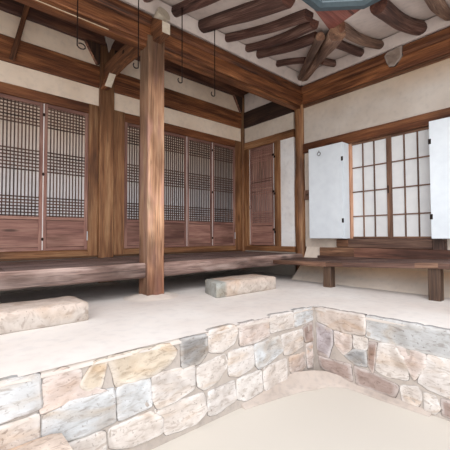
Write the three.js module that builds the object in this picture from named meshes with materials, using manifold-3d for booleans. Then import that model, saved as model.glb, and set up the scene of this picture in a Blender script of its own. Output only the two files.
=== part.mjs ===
// An L-shaped hanok: a timber house with a roofed porch on a stone terrace.
// Units are millimetres, +Z is up, and the ground is at z = 0 under the corner post, which is the origin.
// The main wing runs along -X behind its porch, and the side wing runs along -Y.
import * as THREE from "three";
import { mergeVertices } from "three/addons/utils/BufferGeometryUtils.js";
import Module from "manifold-3d";

const wasm = await Module();
wasm.setup();

// Driving dimensions
const GAP = 0.3; // left between neighbouring pieces
const MAIN_BAY = 2700; // 9 cheok
const MAIN_BAYS = 2;
const WING_BAY = 2800;
const WING_BAYS = 2;
const PORCH_DEPTH = 1350; // half a bay
const ROOM_DEPTH = 2700;
const POST = 205;
const HALF_POST = POST / 2;

// Lines of posts in plan
const WEST = -MAIN_BAY * MAIN_BAYS;
const EAST = ROOM_DEPTH;
const INNER = PORCH_DEPTH;
const REAR = PORCH_DEPTH + ROOM_DEPTH;
const SOUTH = -WING_BAY * WING_BAYS;

// Terrace
const TERRACE_TOP = 616;
const TERRACE_FRONT = -1458;
const TERRACE_COURT = -1829; // its edge in front of the side wing
const TERRACE_MARGIN = 800;
const PAD_HEIGHT = 30; // foundation stones above the terrace
const PAD_RADIUS = 190;

// Heights above the terrace top
const level = (height) => TERRACE_TOP + height;
const PORCH_TOP = level(368);
const ROOM_FLOOR = level(390);
const THRESHOLD_TOP = level(475);
const DOOR_TOP = level(2310);
const LINTEL_TOP = level(2440);
const WINDOW_BOTTOM = level(607);
const WINDOW_TOP = level(1957);
const HEADER_TOP = level(2110);
const BEAM_BOTTOM = level(2690);
const BEAM_TOP = level(3045);
const POST_TOP = level(2800);
const INNER_POST_TOP = level(3280);
const INNER_PURLIN_TOP = level(3524);

// Walls
const WALL_OUT = 50; // from the post line to the outer face
const WALL_IN = 100;
const FLOOR_SETBACK = HALF_POST + GAP;

// Roof: heights are functions of the distance in from the eave
const EAVE = 1500; // overhang past the post lines
const GABLE = 750; // overhang past the end walls
const SOFFIT_EDGE = level(2795);
const SOFFIT_SLOPE = 0.3;
const SOFFIT_BREAK = EAVE + PORCH_DEPTH;
const TILE_BED_EDGE = level(2870);
const TILE_THICKNESS = 90;
const ROOF_SLOPE = 0.38;
const ROOF_CURVE = 0.00005; // extra slope per millimetre
const RAFTER_RADIUS = 65;
const CORNER_RAFTER_RADIUS = 85;
const RAFTER_DROP = 30; // rafter axis below the soffit
const RAFTER_PITCH = 330;
const RAFTER_INSET = 120; // first rafter from the edge of a gable
const ROOM_SLOPE = 0.6; // of the ceiling over the rooms
const FAR = 20000; // well past the house

// Solid helpers

function solidOf(geometry) {
  const bare = geometry.index ? geometry.toNonIndexed() : geometry.clone();
  bare.deleteAttribute("normal");
  bare.deleteAttribute("uv");
  const merged = mergeVertices(bare, 1e-3);
  return new wasm.Manifold(
    new wasm.Mesh({
      numProp: 3,
      vertProperties: merged.attributes.position.array,
      triVerts: new Uint32Array(merged.index.array),
    }),
  );
}

function geometryOf(solid) {
  const mesh = solid.getMesh();
  return new THREE.BufferGeometry()
    .setAttribute("position", new THREE.BufferAttribute(mesh.vertProperties, 3))
    .setIndex(new THREE.BufferAttribute(mesh.triVerts, 1));
}

// A box between low and high values along each axis
function block([x0, x1], [y0, y1], [z0, z1]) {
  const box = new THREE.BoxGeometry(x1 - x0, y1 - y0, z1 - z0);
  box.translate((x0 + x1) / 2, (y0 + y1) / 2, (z0 + z1) / 2);
  return solidOf(box);
}

// An outline of [u, v] points pushed along a third axis from low to high
function prism(outline, [low, high], basis) {
  const shape = new THREE.Shape(outline.map(([u, v]) => new THREE.Vector2(u, v)));
  const pushed = new THREE.ExtrudeGeometry(shape, { depth: high - low, bevelEnabled: false });
  pushed.translate(0, 0, low);
  return solidOf(pushed.applyMatrix4(basis));
}

const X = new THREE.Vector3(1, 0, 0);
const Y = new THREE.Vector3(0, 1, 0);
const Z = new THREE.Vector3(0, 0, 1);
const alongX = (outlineYZ, span) => prism(outlineYZ, span, new THREE.Matrix4().makeBasis(Y, Z, X));
const alongZ = (outlineXY, span) => prism(outlineXY, span, new THREE.Matrix4());
const alongY = (outlineXZ, span) =>
  prism(outlineXZ.map(([x, z]) => [z, x]), span, new THREE.Matrix4().makeBasis(Z, X, Y));

// A straight round log of few sides between two points
function log(start, end, radius, sides = 6) {
  const axis = new THREE.Vector3().subVectors(end, start);
  const round = new THREE.CylinderGeometry(radius, radius, axis.length(), sides);
  const turn = new THREE.Quaternion().setFromUnitVectors(Y, axis.clone().normalize());
  const middle = new THREE.Vector3().addVectors(start, end).multiplyScalar(0.5);
  round.applyQuaternion(turn).translate(middle.x, middle.y, middle.z);
  return solidOf(round);
}

const join = (...solids) => solids.flat(2).reduce((whole, solid) => whole.add(solid));
const cut = (whole, ...tools) => tools.flat(2).reduce((left, tool) => left.subtract(tool), whole);
const range = (count) => Array.from({ length: count }, (_, index) => index);
const spread = (from, to, pitch) => {
  const steps = Math.round(Math.abs(to - from) / pitch);
  return range(steps + 1).map((step) => from + ((to - from) * step) / steps);
};

// Materials

const finish = (color, roughness) => new THREE.MeshStandardMaterial({ color, roughness, metalness: 0 });
const STONE = finish(0xd8cfc4, 0.9);
const PLASTER = finish(0xcdbfa6, 0.95);
const OLD_TIMBER = finish(0x7a4f33, 0.7);
const FRAME_TIMBER = finish(0x94603a, 0.65);
const DOOR_TIMBER = finish(0x74503f, 0.75);
const PAPER = finish(0xeef1f2, 0.9);
const TILE = finish(0x4a4d50, 0.8);
const GUTTER = finish(0x34444c, 0.5);

const house = new THREE.Group();

// Each piece is one closed solid in a named mesh, at a place in the house and turned about the vertical
function place(name, solid, material, [x, y, z] = [0, 0, 0], turn = 0) {
  const mesh = new THREE.Mesh(geometryOf(solid), material);
  mesh.name = name;
  mesh.position.set(x, y, z);
  mesh.rotation.z = turn;
  house.add(mesh);
}

// One piece on each spot of a row
const placeRow = (name, spots, make, material, height) =>
  spots.forEach(([x, y], index) => place(`${name}_${index + 1}`, make(), material, [x, y, height]));

// Terrace and steps

const MAIN_FRONT_POSTS = range(MAIN_BAYS).map((bay) => [WEST + bay * MAIN_BAY, 0]);
const WING_POSTS = range(WING_BAYS).map((bay) => [0, -(bay + 1) * WING_BAY]);
const INNER_POSTS = range(MAIN_BAYS + 1).map((bay) => [WEST + bay * MAIN_BAY, INNER]);
const CORNER_POST = [0, 0];

const foundationStone = ([x, y]) =>
  alongZ(
    range(8).map((side) => {
      const angle = ((side + 0.5) * Math.PI) / 4;
      return [x + PAD_RADIUS * Math.cos(angle), y + PAD_RADIUS * Math.sin(angle)];
    }),
    [TERRACE_TOP - 1, TERRACE_TOP + PAD_HEIGHT],
  );

function terrace() {
  const west = WEST - TERRACE_MARGIN;
  const east = EAST + TERRACE_MARGIN;
  const rear = REAR + TERRACE_MARGIN;
  const south = SOUTH - TERRACE_MARGIN;
  const outline = [
    [west, TERRACE_FRONT],
    [TERRACE_COURT, TERRACE_FRONT],
    [TERRACE_COURT, south],
    [east, south],
    [east, rear],
    [west, rear],
  ];
  const posts = [...MAIN_FRONT_POSTS, ...WING_POSTS, ...INNER_POSTS, CORNER_POST];
  return join(alongZ(outline, [0, TERRACE_TOP]), posts.map(foundationStone));
}

const STEP_DEPTH = 370;

// A dressed block of stone with its upper edges worn back
function stoneStep(width, height) {
  const worn = 12;
  const depth = STEP_DEPTH;
  const profile = [
    [0, 0],
    [depth, 0],
    [depth, height - worn],
    [depth - worn, height],
    [worn, height],
    [0, height - worn],
  ];
  return alongX(profile, [0, width]);
}

place("terrace", terrace(), STONE);
place("stepping_stone_left", stoneStep(930, 150), STONE, [-4500, -600, TERRACE_TOP + GAP]);
place("stepping_stone_right", stoneStep(950, 160), STONE, [-2250, -560, TERRACE_TOP + GAP]);
place("courtyard_step", stoneStep(1100, 316), STONE, [-5100, TERRACE_FRONT - STEP_DEPTH - GAP, 0]);

// Posts

const POST_FOOT = level(PAD_HEIGHT) + GAP;
const POST_SIDES = [-HALF_POST, HALF_POST];

const squarePost = () => block(POST_SIDES, POST_SIDES, [0, POST_TOP - POST_FOOT]);
const postSpace = ([x, y], top) => {
  const half = HALF_POST + GAP;
  return block([x - half, x + half], [y - half, y + half], [TERRACE_TOP, top + GAP]);
};

// The corner post is a log with a natural bend, as wide as the squared posts
const CORNER_BEND = [0, 9, 14, 10, 0, -9, -4];

function bentPost(height) {
  const radius = HALF_POST - Math.max(...CORNER_BEND);
  const spare = 40; // cut off again at both ends, so that they are level
  const step = (height + 2 * spare) / (CORNER_BEND.length - 1);
  const points = CORNER_BEND.map((bend, index) => new THREE.Vector3(0, bend, index * step - spare));
  const side = new THREE.Shape(
    range(10).map((corner) => {
      const angle = (corner * Math.PI) / 5;
      return new THREE.Vector2(radius * Math.cos(angle), radius * Math.sin(angle));
    }),
  );
  const path = new THREE.CatmullRomCurve3(points);
  const whole = solidOf(new THREE.ExtrudeGeometry(side, { extrudePath: path, steps: 6 }));
  return whole.intersect(block([-POST, POST], [-POST, POST], [0, height]));
}

// Brackets carry the inner purlin on both sides of an inner post
const BRACKET_HEIGHT = 270;
const BRACKET_TOP_REACH = 300;
const BRACKET_FOOT_REACH = 120;

function innerPost() {
  const height = INNER_POST_TOP - POST_FOOT;
  const profile = [
    [-BRACKET_FOOT_REACH, height - BRACKET_HEIGHT],
    [BRACKET_FOOT_REACH, height - BRACKET_HEIGHT],
    [BRACKET_TOP_REACH, height],
    [-BRACKET_TOP_REACH, height],
  ];
  const shaft = block(POST_SIDES, POST_SIDES, [0, height]);
  return join(shaft, alongY(profile, [-HALF_POST + 2, -WALL_OUT - GAP]));
}

placeRow("front_post", MAIN_FRONT_POSTS, squarePost, OLD_TIMBER, POST_FOOT);
placeRow("wing_post", WING_POSTS, squarePost, OLD_TIMBER, POST_FOOT);
placeRow("inner_post", INNER_POSTS, innerPost, OLD_TIMBER, POST_FOOT);
place("corner_post", bentPost(POST_TOP - POST_FOOT), FRAME_TIMBER, [0, 0, POST_FOOT]);

const frontPosts = [...MAIN_FRONT_POSTS, CORNER_POST, ...WING_POSTS];
const frontPostSpaces = frontPosts.map((at) => postSpace(at, POST_TOP));
const innerPostSpaces = INNER_POSTS.map((at) => postSpace(at, INNER_POST_TOP));

// Beams

const TIE_HALF = 60;
const TIE_BOTTOM = POST_TOP + 4;
const TIE_TOP = level(3004);
const TIE_HEAD = 300; // past the post line
const TIE_HEAD_BOTTOM = level(2745);
const TIE_HEAD_TOP = level(2882);

// Three stacked timbers: lintel beam, bearer and purlin
const BEARER_BOTTOM = level(2740);
const PURLIN_BOTTOM = level(2912);
const PURLIN_HALF = 100;
const BEAM_PROFILE = [
  [-60, BEAM_BOTTOM],
  [60, BEAM_BOTTOM],
  [60, BEARER_BOTTOM],
  [80, BEARER_BOTTOM],
  [80, PURLIN_BOTTOM],
  [PURLIN_HALF, PURLIN_BOTTOM],
  [PURLIN_HALF, BEAM_TOP],
  [-PURLIN_HALF, BEAM_TOP],
  [-PURLIN_HALF, PURLIN_BOTTOM],
  [-80, PURLIN_BOTTOM],
  [-80, BEARER_BOTTOM],
  [-60, BEARER_BOTTOM],
];
const BEAM_END = GABLE - 100; // beams stop this far past the end walls

const tieRoom = TIE_HALF + GAP;
const tieSpace = (x) => {
  const heights = [TIE_BOTTOM - 4, TIE_TOP + GAP];
  return block([x - tieRoom, x + tieRoom], [-TIE_HEAD - 1, INNER], heights);
};

function frontBeam() {
  const whole = alongX(BEAM_PROFILE, [WEST - BEAM_END, PURLIN_HALF]);
  return cut(whole, frontPostSpaces, MAIN_FRONT_POSTS.map(([x]) => tieSpace(x)));
}

function wingBeam() {
  const whole = alongY(BEAM_PROFILE, [SOUTH - BEAM_END, -PURLIN_HALF - GAP]);
  return cut(whole, frontPostSpaces);
}

// A tie beam lies over the front post and ends in a lowered head past it
function tieBeam() {
  const back = INNER - HALF_POST - GAP;
  const profile = [
    [-TIE_HEAD, TIE_HEAD_TOP],
    [-TIE_HEAD, TIE_HEAD_BOTTOM],
    [-HALF_POST - 2, TIE_HEAD_BOTTOM],
    [-HALF_POST - 2, TIE_BOTTOM],
    [back, TIE_BOTTOM],
    [back, TIE_TOP],
    [-HALF_POST, TIE_TOP],
  ];
  return alongX(profile, [-TIE_HALF, TIE_HALF]);
}

const headSpace = (x) =>
  block([x - tieRoom, x + tieRoom], [-TIE_HEAD, -HALF_POST - 1], [TIE_HEAD_BOTTOM - GAP, TIE_TOP]);

place("front_beam", cut(frontBeam(), MAIN_FRONT_POSTS.map(([x]) => headSpace(x))), OLD_TIMBER);
place("wing_beam", wingBeam(), OLD_TIMBER);
MAIN_FRONT_POSTS.forEach(([x], index) => place(`tie_beam_${index + 1}`, tieBeam(), OLD_TIMBER, [x, 0, 0]));

const RETURN_SPAN = [HALF_POST + GAP, INNER - HALF_POST - GAP];
const RETURN_BEAM_TOP = level(2996);
place("return_beam", block([-75, 75], RETURN_SPAN, [BEAM_BOTTOM, RETURN_BEAM_TOP]), OLD_TIMBER);
place(
  "inner_purlin",
  block([WEST - BEAM_END, HALF_POST], [INNER - 80, INNER + 80], [INNER_POST_TOP + GAP, INNER_PURLIN_TOP]),
  OLD_TIMBER,
);

// Floors

// The room left round each foundation stone
const foundationSpaces = [...INNER_POSTS, CORNER_POST, ...WING_POSTS].map(([x, y]) => {
  const half = PAD_RADIUS + 1;
  return block([x - half, x + half], [y - half, y + half], [TERRACE_TOP, TERRACE_TOP + PAD_HEIGHT + 1]);
});

const RETURN_SILL = [level(385), level(478)];

function roomFloor() {
  const inset = FLOOR_SETBACK;
  const outline = [
    [WEST + inset, INNER + inset],
    [inset, INNER + inset],
    [inset, SOUTH + inset],
    [EAST - inset, SOUTH + inset],
    [EAST - inset, REAR - inset],
    [WEST + inset, REAR - inset],
  ];
  const heights = [TERRACE_TOP + GAP, ROOM_FLOOR];
  const sills = range(MAIN_BAYS).map((bay) => {
    const left = WEST + bay * MAIN_BAY + HALF_POST + GAP;
    return block([left, left + MAIN_BAY - POST - 2 * GAP], [INNER - WALL_OUT, INNER + inset + 1], heights);
  });
  const returnHeights = [TERRACE_TOP + GAP, RETURN_SILL[0] - GAP];
  const returnSill = block([-WALL_OUT, inset + 1], RETURN_SPAN, returnHeights);
  return cut(join(alongZ(outline, heights), sills, returnSill), foundationSpaces);
}

const PORCH_BOARD = 60;
const PORCH_BEAM_DEPTH = 152;
const PORCH_FACE = -60;
const JOIST_DEPTH = 130;
const JOIST_HALF = 50;

function porchFloor() {
  const wall = INNER - WALL_OUT - GAP;
  const left = WEST - 60;
  const right = -WALL_OUT - GAP;
  const heights = [PORCH_TOP - PORCH_BEAM_DEPTH, PORCH_TOP];
  const boards = block([left, right], [PORCH_FACE, wall], [PORCH_TOP - PORCH_BOARD, PORCH_TOP]);
  const frontEdge = block([left, right], [PORCH_FACE, 60], heights);
  const backEdge = block([left, right], [wall - 90, wall], heights);
  const joists = spread(WEST, right - HALF_POST, MAIN_BAY / 2).map((x) =>
    block([x - JOIST_HALF, x + JOIST_HALF], [0, wall], [PORCH_TOP - JOIST_DEPTH, PORCH_TOP - 1]),
  );
  const threshold = block([WEST, 0], [wall - 1, INNER], [ROOM_FLOOR, THRESHOLD_TOP]);
  return cut(join(boards, frontEdge, backEdge, joists), frontPostSpaces, innerPostSpaces, threshold);
}

place("room_floor", roomFloor(), PLASTER);
place("porch_floor", porchFloor(), DOOR_TIMBER);

// Inner wall behind the porch, bay by bay

const DOOR_LEAVES = 4;
const LEAF_WIDTH = 541.5;
const LEAF_THICKNESS = 36;
const STILE = 45;
const RIGHT_JAMBS = [135, 158]; // post face to door opening, bay by bay

const wallOuter = INNER - WALL_OUT - 10;

function doorFrame(left, right, doorRight) {
  const doorLeft = doorRight - DOOR_LEAVES * LEAF_WIDTH;
  const whole = block([left, right], [wallOuter, INNER + WALL_IN], [ROOM_FLOOR + GAP, LINTEL_TOP]);
  const through = [wallOuter - 1, INNER + WALL_IN + 1];
  const opening = block([doorLeft, doorRight], through, [THRESHOLD_TOP, DOOR_TOP]);
  return cut(whole, opening);
}

const PANEL_RECESS = 12;
const LATTICE_RECESS = 22;
const LEAF_PANEL = [level(515), level(860)];
const LEAF_LATTICE = [level(898), level(2258)];

// One leaf: stiles, three rails, a boarded panel below and papered lattice above, in shallow recesses
function leafRecesses(x, front) {
  const inner = [x + STILE, x + LEAF_WIDTH - STILE];
  const panel = block(inner, [front - 1, front + PANEL_RECESS], LEAF_PANEL);
  const lattice = block(inner, [front - 1, front + LATTICE_RECESS], LEAF_LATTICE);
  return [panel, lattice];
}

function foldingDoors(doorRight) {
  const left = doorRight - DOOR_LEAVES * LEAF_WIDTH;
  const front = wallOuter + 6;
  const heights = [THRESHOLD_TOP + GAP, DOOR_TOP - GAP];
  const whole = block([left + GAP, doorRight - GAP], [front, front + LEAF_THICKNESS], heights);
  return cut(whole, range(DOOR_LEAVES).map((leaf) => leafRecesses(left + leaf * LEAF_WIDTH, front)));
}

const LOWER_BEAM = [level(2694), level(2996)];
const LOWER_BEAM_HALF = 75;

function innerWall(left, right) {
  const heights = [LINTEL_TOP + GAP, INNER_POST_TOP - GAP];
  const sheet = block([left, right], [INNER - WALL_OUT, INNER + WALL_OUT], heights);
  const beamHeights = [LOWER_BEAM[0] - GAP, LOWER_BEAM[1] + GAP];
  const beam = block([left - 1, right + 1], [INNER - WALL_OUT - 1, INNER + GAP], beamHeights);
  return cut(sheet, beam);
}

range(MAIN_BAYS).forEach((bay) => {
  const left = WEST + bay * MAIN_BAY + HALF_POST + GAP;
  const right = WEST + (bay + 1) * MAIN_BAY - HALF_POST - GAP;
  const doorRight = right - RIGHT_JAMBS[bay];
  const number = bay + 1;
  place(`door_frame_${number}`, doorFrame(left, right, doorRight), FRAME_TIMBER);
  place(`folding_doors_${number}`, foldingDoors(doorRight), DOOR_TIMBER);
  place(`inner_wall_${number}`, innerWall(left, right), PLASTER);
  const beam = block([left, right], [INNER - LOWER_BEAM_HALF, INNER], LOWER_BEAM);
  place(`inner_beam_${number}`, beam, OLD_TIMBER);
});

// Return wall at the end of the porch, with the only door that turns

const RETURN_FACE = -60;
const RETURN_PANEL = [level(524), level(840)];
const RETURN_LATTICE = [level(876), level(2216)];
const RETURN_JAMB_NEAR = [383, 513];
const RETURN_JAMB_FAR = [1120, INNER - HALF_POST - GAP];
const RETURN_LINTEL = [level(2277), level(2410)];
const RETURN_DEPTH = [RETURN_FACE, 60];
const LEAF_CLEARANCE = 6;
const HINGE = [-65, 517]; // x and y of the pin
const HINGE_RADIUS = 6;
const HINGE_HEIGHTS = [level(700), level(1360), level(2000)];
const KNUCKLE = 40;

const onHinge = (height) => new THREE.Vector3(...HINGE, height);
const knuckle = (low) => log(onHinge(low), onHinge(low + KNUCKLE), HINGE_RADIUS, 12);

function returnFrame() {
  const far = block(RETURN_DEPTH, RETURN_JAMB_FAR, [RETURN_SILL[0], RETURN_LINTEL[1]]);
  const near = block(RETURN_DEPTH, RETURN_JAMB_NEAR, [RETURN_SILL[0], RETURN_LINTEL[1]]);
  const sill = block(RETURN_DEPTH, RETURN_SPAN, RETURN_SILL);
  const lintel = block(RETURN_DEPTH, RETURN_SPAN, RETURN_LINTEL);
  const plates = HINGE_HEIGHTS.map((low) => {
    const across = [RETURN_JAMB_NEAR[1] - 30, HINGE[1]];
    const strap = block([HINGE[0] - 4, RETURN_FACE + 1], across, [low, low + KNUCKLE]);
    return join(strap, knuckle(low));
  });
  return join(far, near, sill, lintel, plates);
}

function returnDoor() {
  const face = RETURN_FACE + 2;
  const y = [RETURN_JAMB_NEAR[1] + 2 * LEAF_CLEARANCE, RETURN_JAMB_FAR[0] - LEAF_CLEARANCE];
  const z = [RETURN_SILL[1] + LEAF_CLEARANCE, RETURN_LINTEL[0] - LEAF_CLEARANCE];
  const leaf = block([face, face + LEAF_THICKNESS], y, z);
  const inner = [y[0] + STILE, y[1] - STILE];
  const panel = block([face - 1, face + PANEL_RECESS], inner, RETURN_PANEL);
  const lattice = block([face - 1, face + LATTICE_RECESS], inner, RETURN_LATTICE);
  const straps = HINGE_HEIGHTS.map((low) => {
    const from = low + KNUCKLE + GAP;
    const strap = block([HINGE[0] - 2, face + 1], [HINGE[1], y[0] + 40], [from, from + KNUCKLE]);
    return join(strap, knuckle(from));
  });
  return join(cut(leaf, panel, lattice), straps);
}

place("return_frame", returnFrame(), FRAME_TIMBER);
place("return_door", returnDoor(), DOOR_TIMBER);

const returnWall = (span, low, high) => block([-WALL_OUT, WALL_OUT], span, [low + GAP, high - GAP]);
const sideSpan = [RETURN_SPAN[0], RETURN_JAMB_NEAR[0] - GAP];
place("return_side_wall", returnWall(sideSpan, RETURN_SILL[1], RETURN_LINTEL[0]), PLASTER);
place("return_upper_wall", returnWall(RETURN_SPAN, RETURN_LINTEL[1], BEAM_BOTTOM), PLASTER);

// Side wing front: foot wall, walls with a window in each bay, and shutters

const SILL_BOTTOM = level(480);
const FRAME_FACE = -80;
const SILL_FACE = -90;
const WINDOW_HALF = 540;
const SILL_LEFT = 727; // past the window's centre, towards the corner post
const SILL_RIGHT = 643;
const JAMB = 50;
const SASH_X = [-40, -10];
const SASH_STILE = 38;
const SASH_RAIL = 25;
const SASH_RECESS = 18;
const SHUTTER_OFFSET = 235; // the open leaf's face from the post line
const SHUTTER_THICKNESS = 35;
const SHUTTER_WIDTH = 550;
const SIDE_BOARD = 25;

// The bench plank rises a little along the wall: distance from the corner post, then height
const BENCH_EDGE = -780;
const BENCH_BACK = -130;
const BENCH_TOP = [
  [60 + GAP, 303],
  [920, 316],
  [1500, 345],
  [2160, 377],
  [5500, 385],
];
const BENCH_THICKNESS = 55;
const BENCH_LEG = 110;
const BENCH_FIRST_LEG = 910;
const BENCH_LEG_PITCH = 1200;

// Height of the bench above the terrace at a distance along the wall
function benchHeight(along) {
  const next = BENCH_TOP.findIndex(([at]) => at >= along);
  const [from, low] = BENCH_TOP[next - 1];
  const [to, high] = BENCH_TOP[next];
  return low + ((high - low) * (along - from)) / (to - from);
}

function benchOutline(grow) {
  const top = BENCH_TOP.map(([along, height]) => [-along + (along < 100 ? grow : 0), level(height) + grow]);
  const bottom = BENCH_TOP.map(([along, height]) => [
    -along + (along < 100 ? grow : 0),
    level(height) - BENCH_THICKNESS - grow,
  ]);
  return [...top, ...bottom.reverse()];
}

function bench() {
  const plank = alongX(benchOutline(0), [BENCH_EDGE, BENCH_BACK]);
  const legs = range(5).map((leg) => {
    const y = -BENCH_FIRST_LEG - Math.min(leg * BENCH_LEG_PITCH, 4400);
    const top = level(benchHeight(-y)) - BENCH_THICKNESS / 2;
    const x = BENCH_EDGE + 40;
    return block([x, x + BENCH_LEG], [y - BENCH_LEG / 2, y + BENCH_LEG / 2], [TERRACE_TOP + GAP, top]);
  });
  return join(plank, legs);
}

function footWall() {
  const profile = [
    [-440, TERRACE_TOP + GAP],
    [WALL_IN, TERRACE_TOP + GAP],
    [WALL_IN, SILL_BOTTOM - GAP],
    [-WALL_OUT, SILL_BOTTOM - GAP],
    [-65, level(420)],
    [-110, level(330)],
    [-190, level(220)],
    [-330, level(90)],
  ];
  const whole = alongY(profile, [SOUTH + HALF_POST + GAP, -HALF_POST - 20]);
  const benchSpace = alongX(benchOutline(GAP), [BENCH_EDGE, BENCH_BACK + GAP]);
  return cut(whole, frontPostSpaces, foundationSpaces, benchSpace);
}

const HEADER_BACK = 20;
const SILL_BACK = 60;

function windowFrame(centre, from, to) {
  const header = block([FRAME_FACE, HEADER_BACK], [from, to], [WINDOW_TOP, HEADER_TOP]);
  const sillSpan = [centre - SILL_RIGHT, centre + SILL_LEFT];
  const sill = block([SILL_FACE, SILL_BACK], sillSpan, [SILL_BOTTOM + GAP, WINDOW_BOTTOM]);
  const jambs = [-1, 1].map((side) => {
    const middle = centre + side * (WINDOW_HALF + JAMB / 2);
    const across = [middle - JAMB / 2, middle + JAMB / 2];
    return block([-WALL_OUT, WALL_IN], across, [WINDOW_BOTTOM - 1, WINDOW_TOP + 1]);
  });
  return join(header, sill, jambs);
}

// The room left in the wall for a window frame
function windowSpace(centre, from, to) {
  const headerHeights = [WINDOW_TOP - GAP, HEADER_TOP + GAP];
  const header = block([FRAME_FACE, HEADER_BACK + GAP], [from - 1, to + 1], headerHeights);
  const sillSpan = [centre - SILL_RIGHT - GAP, centre + SILL_LEFT + GAP];
  const sill = block([SILL_FACE, SILL_BACK + GAP], sillSpan, [SILL_BOTTOM - 1, WINDOW_BOTTOM + GAP]);
  const half = WINDOW_HALF + JAMB + GAP;
  const holeHeights = [WINDOW_BOTTOM - 1 - GAP, WINDOW_TOP + 1 + GAP];
  const hole = block([-WALL_OUT - 1, WALL_IN + 1], [centre - half, centre + half], holeHeights);
  return [header, sill, hole];
}

// Two papered sashes of three panes by four, their paper set back from the bars' face
function sashes(centre) {
  const half = WINDOW_HALF - GAP;
  const whole = block(SASH_X, [centre - half, centre + half], [WINDOW_BOTTOM + GAP, WINDOW_TOP - GAP]);
  const pane = [SASH_STILE, half - SASH_STILE];
  const recesses = [-1, 1].map((side) => {
    const y = pane.map((value) => centre + side * value).sort((a, b) => a - b);
    const heights = [WINDOW_BOTTOM + SASH_RAIL, WINDOW_TOP - SASH_RAIL];
    return block([SASH_X[0] - 1, SASH_X[0] + SASH_RECESS], y, heights);
  });
  return cut(whole, recesses);
}

// A shutter stands open on the outer edge of its side board, clear of the wall
function shutter(side) {
  const heights = [2, WINDOW_TOP - WINDOW_BOTTOM - 2];
  const across = (width) => (side > 0 ? [0, width] : [-width, 0]);
  const leaf = block([0, SHUTTER_THICKNESS], across(SHUTTER_WIDTH), heights);
  const board = block([0, SHUTTER_OFFSET - WALL_OUT - GAP], across(SIDE_BOARD), heights);
  return join(leaf, board);
}

function wingWall(centre, from, to) {
  const sheet = block([-WALL_OUT, WALL_IN], [from, to], [SILL_BOTTOM, BEAM_BOTTOM - GAP]);
  return cut(sheet, windowSpace(centre, from, to));
}

range(WING_BAYS).forEach((bay) => {
  const number = bay + 1;
  const centre = -WING_BAY * (bay + 0.5);
  const from = -WING_BAY * (bay + 1) + HALF_POST + GAP;
  const to = -WING_BAY * bay - HALF_POST - GAP;
  place(`wing_wall_${number}`, wingWall(centre, from, to), PLASTER);
  place(`window_frame_${number}`, windowFrame(centre, from, to), FRAME_TIMBER);
  place(`window_sashes_${number}`, sashes(centre), PAPER);
  const hang = (side) => [-SHUTTER_OFFSET, centre + side * WINDOW_HALF, WINDOW_BOTTOM];
  place(`shutter_${number}_left`, shutter(1), PAPER, hang(1));
  place(`shutter_${number}_right`, shutter(-1), PAPER, hang(-1));
});
place("wing_foot_wall", footWall(), PLASTER);
place("bench", bench(), DOOR_TIMBER);

// Roof surfaces

const soffit = (d) =>
  SOFFIT_EDGE + SOFFIT_SLOPE * Math.min(d, SOFFIT_BREAK) + ROOM_SLOPE * Math.max(0, d - SOFFIT_BREAK);
const tileBed = (d) => TILE_BED_EDGE + ROOF_SLOPE * d + ROOF_CURVE * d * d;
const tileTop = (d) => tileBed(d) + TILE_THICKNESS;

const MAIN_EAVES = [-EAVE, REAR + EAVE];
const WING_EAVES = [-EAVE, EAST + EAVE];
const SLOPE_STEPS = 5;

// Heights across a gabled roof, from one eave to the other
function crossSection([low, high], height, base) {
  const half = (high - low) / 2;
  const across = range(2 * SLOPE_STEPS + 1).map((step) => (step / SLOPE_STEPS) * half);
  const breaks = [SOFFIT_BREAK, 2 * half - SOFFIT_BREAK].filter((d) => d > 0 && d < 2 * half);
  const all = [...new Set([...across, ...breaks])].sort((a, b) => a - b);
  const top = all.map((d) => [low + d, height(Math.min(d, 2 * half - d))]);
  return [[low, base], ...top, [high, base]];
}

// Everything under one slope that falls towards the eave at edge
function underSlope(edge, height, base) {
  const run = (MAIN_EAVES[1] - MAIN_EAVES[0]) / 2;
  const steps = range(SLOPE_STEPS + 1).map((step) => (step / SLOPE_STEPS) * run);
  const all = [...new Set([...steps, SOFFIT_BREAK])].sort((a, b) => b - a);
  const top = all.map((d) => [edge - d, height(d)]);
  return [[edge, base], [-FAR, base], [-FAR, height(run)], ...top];
}

// All the space under a roof surface, hipped at the outer corner
function underRoof(height, base) {
  const main = alongX(crossSection(MAIN_EAVES, height, base), [WEST - GABLE, WING_EAVES[1]]);
  const wing = alongY(crossSection(WING_EAVES, height, base), [SOUTH - GABLE, MAIN_EAVES[1]]);
  const eastSlope = alongY(underSlope(WING_EAVES[1], height, base), [-FAR, FAR]);
  const rearSlope = alongX(underSlope(MAIN_EAVES[1], height, base), [-FAR, FAR]);
  return join(main.intersect(eastSlope), wing.intersect(rearSlope));
}

// The roof is parted along the valley and hip line, where x equals y
const mainHalf = alongZ([[-FAR, -FAR + GAP], [FAR, FAR + GAP], [-FAR, FAR + GAP]], [-10, FAR]);
const wingHalf = alongZ([[-FAR, -FAR - GAP], [FAR, -FAR], [FAR, FAR - GAP]], [-10, FAR]);

// Plaster and clay on the boards over the rafters, with the fill down to the beams and wall tops
function roofDeck() {
  const shell = cut(underRoof(tileBed, SOFFIT_EDGE), underRoof(soffit, SOFFIT_EDGE - 1000));
  const heights = [BEAM_TOP + GAP, soffit(EAVE)];
  const fills = join(
    block([WEST, 0], [-80, 80], heights),
    block([-80, 80], [SOUTH, 0], heights),
    block([WEST, EAST], [REAR - 80, REAR + 20], heights),
    block([EAST - 80, EAST + 20], [SOUTH, REAR], heights),
    block([WEST, 0], [INNER - 60, INNER + 60], [INNER_PURLIN_TOP + GAP, soffit(SOFFIT_BREAK)]),
    block([-WALL_OUT, WALL_OUT], [-1, RETURN_SPAN[1]], [RETURN_BEAM_TOP + GAP, soffit(EAVE)]),
  );
  return join(shell, cut(fills, frontPostSpaces));
}

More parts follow.
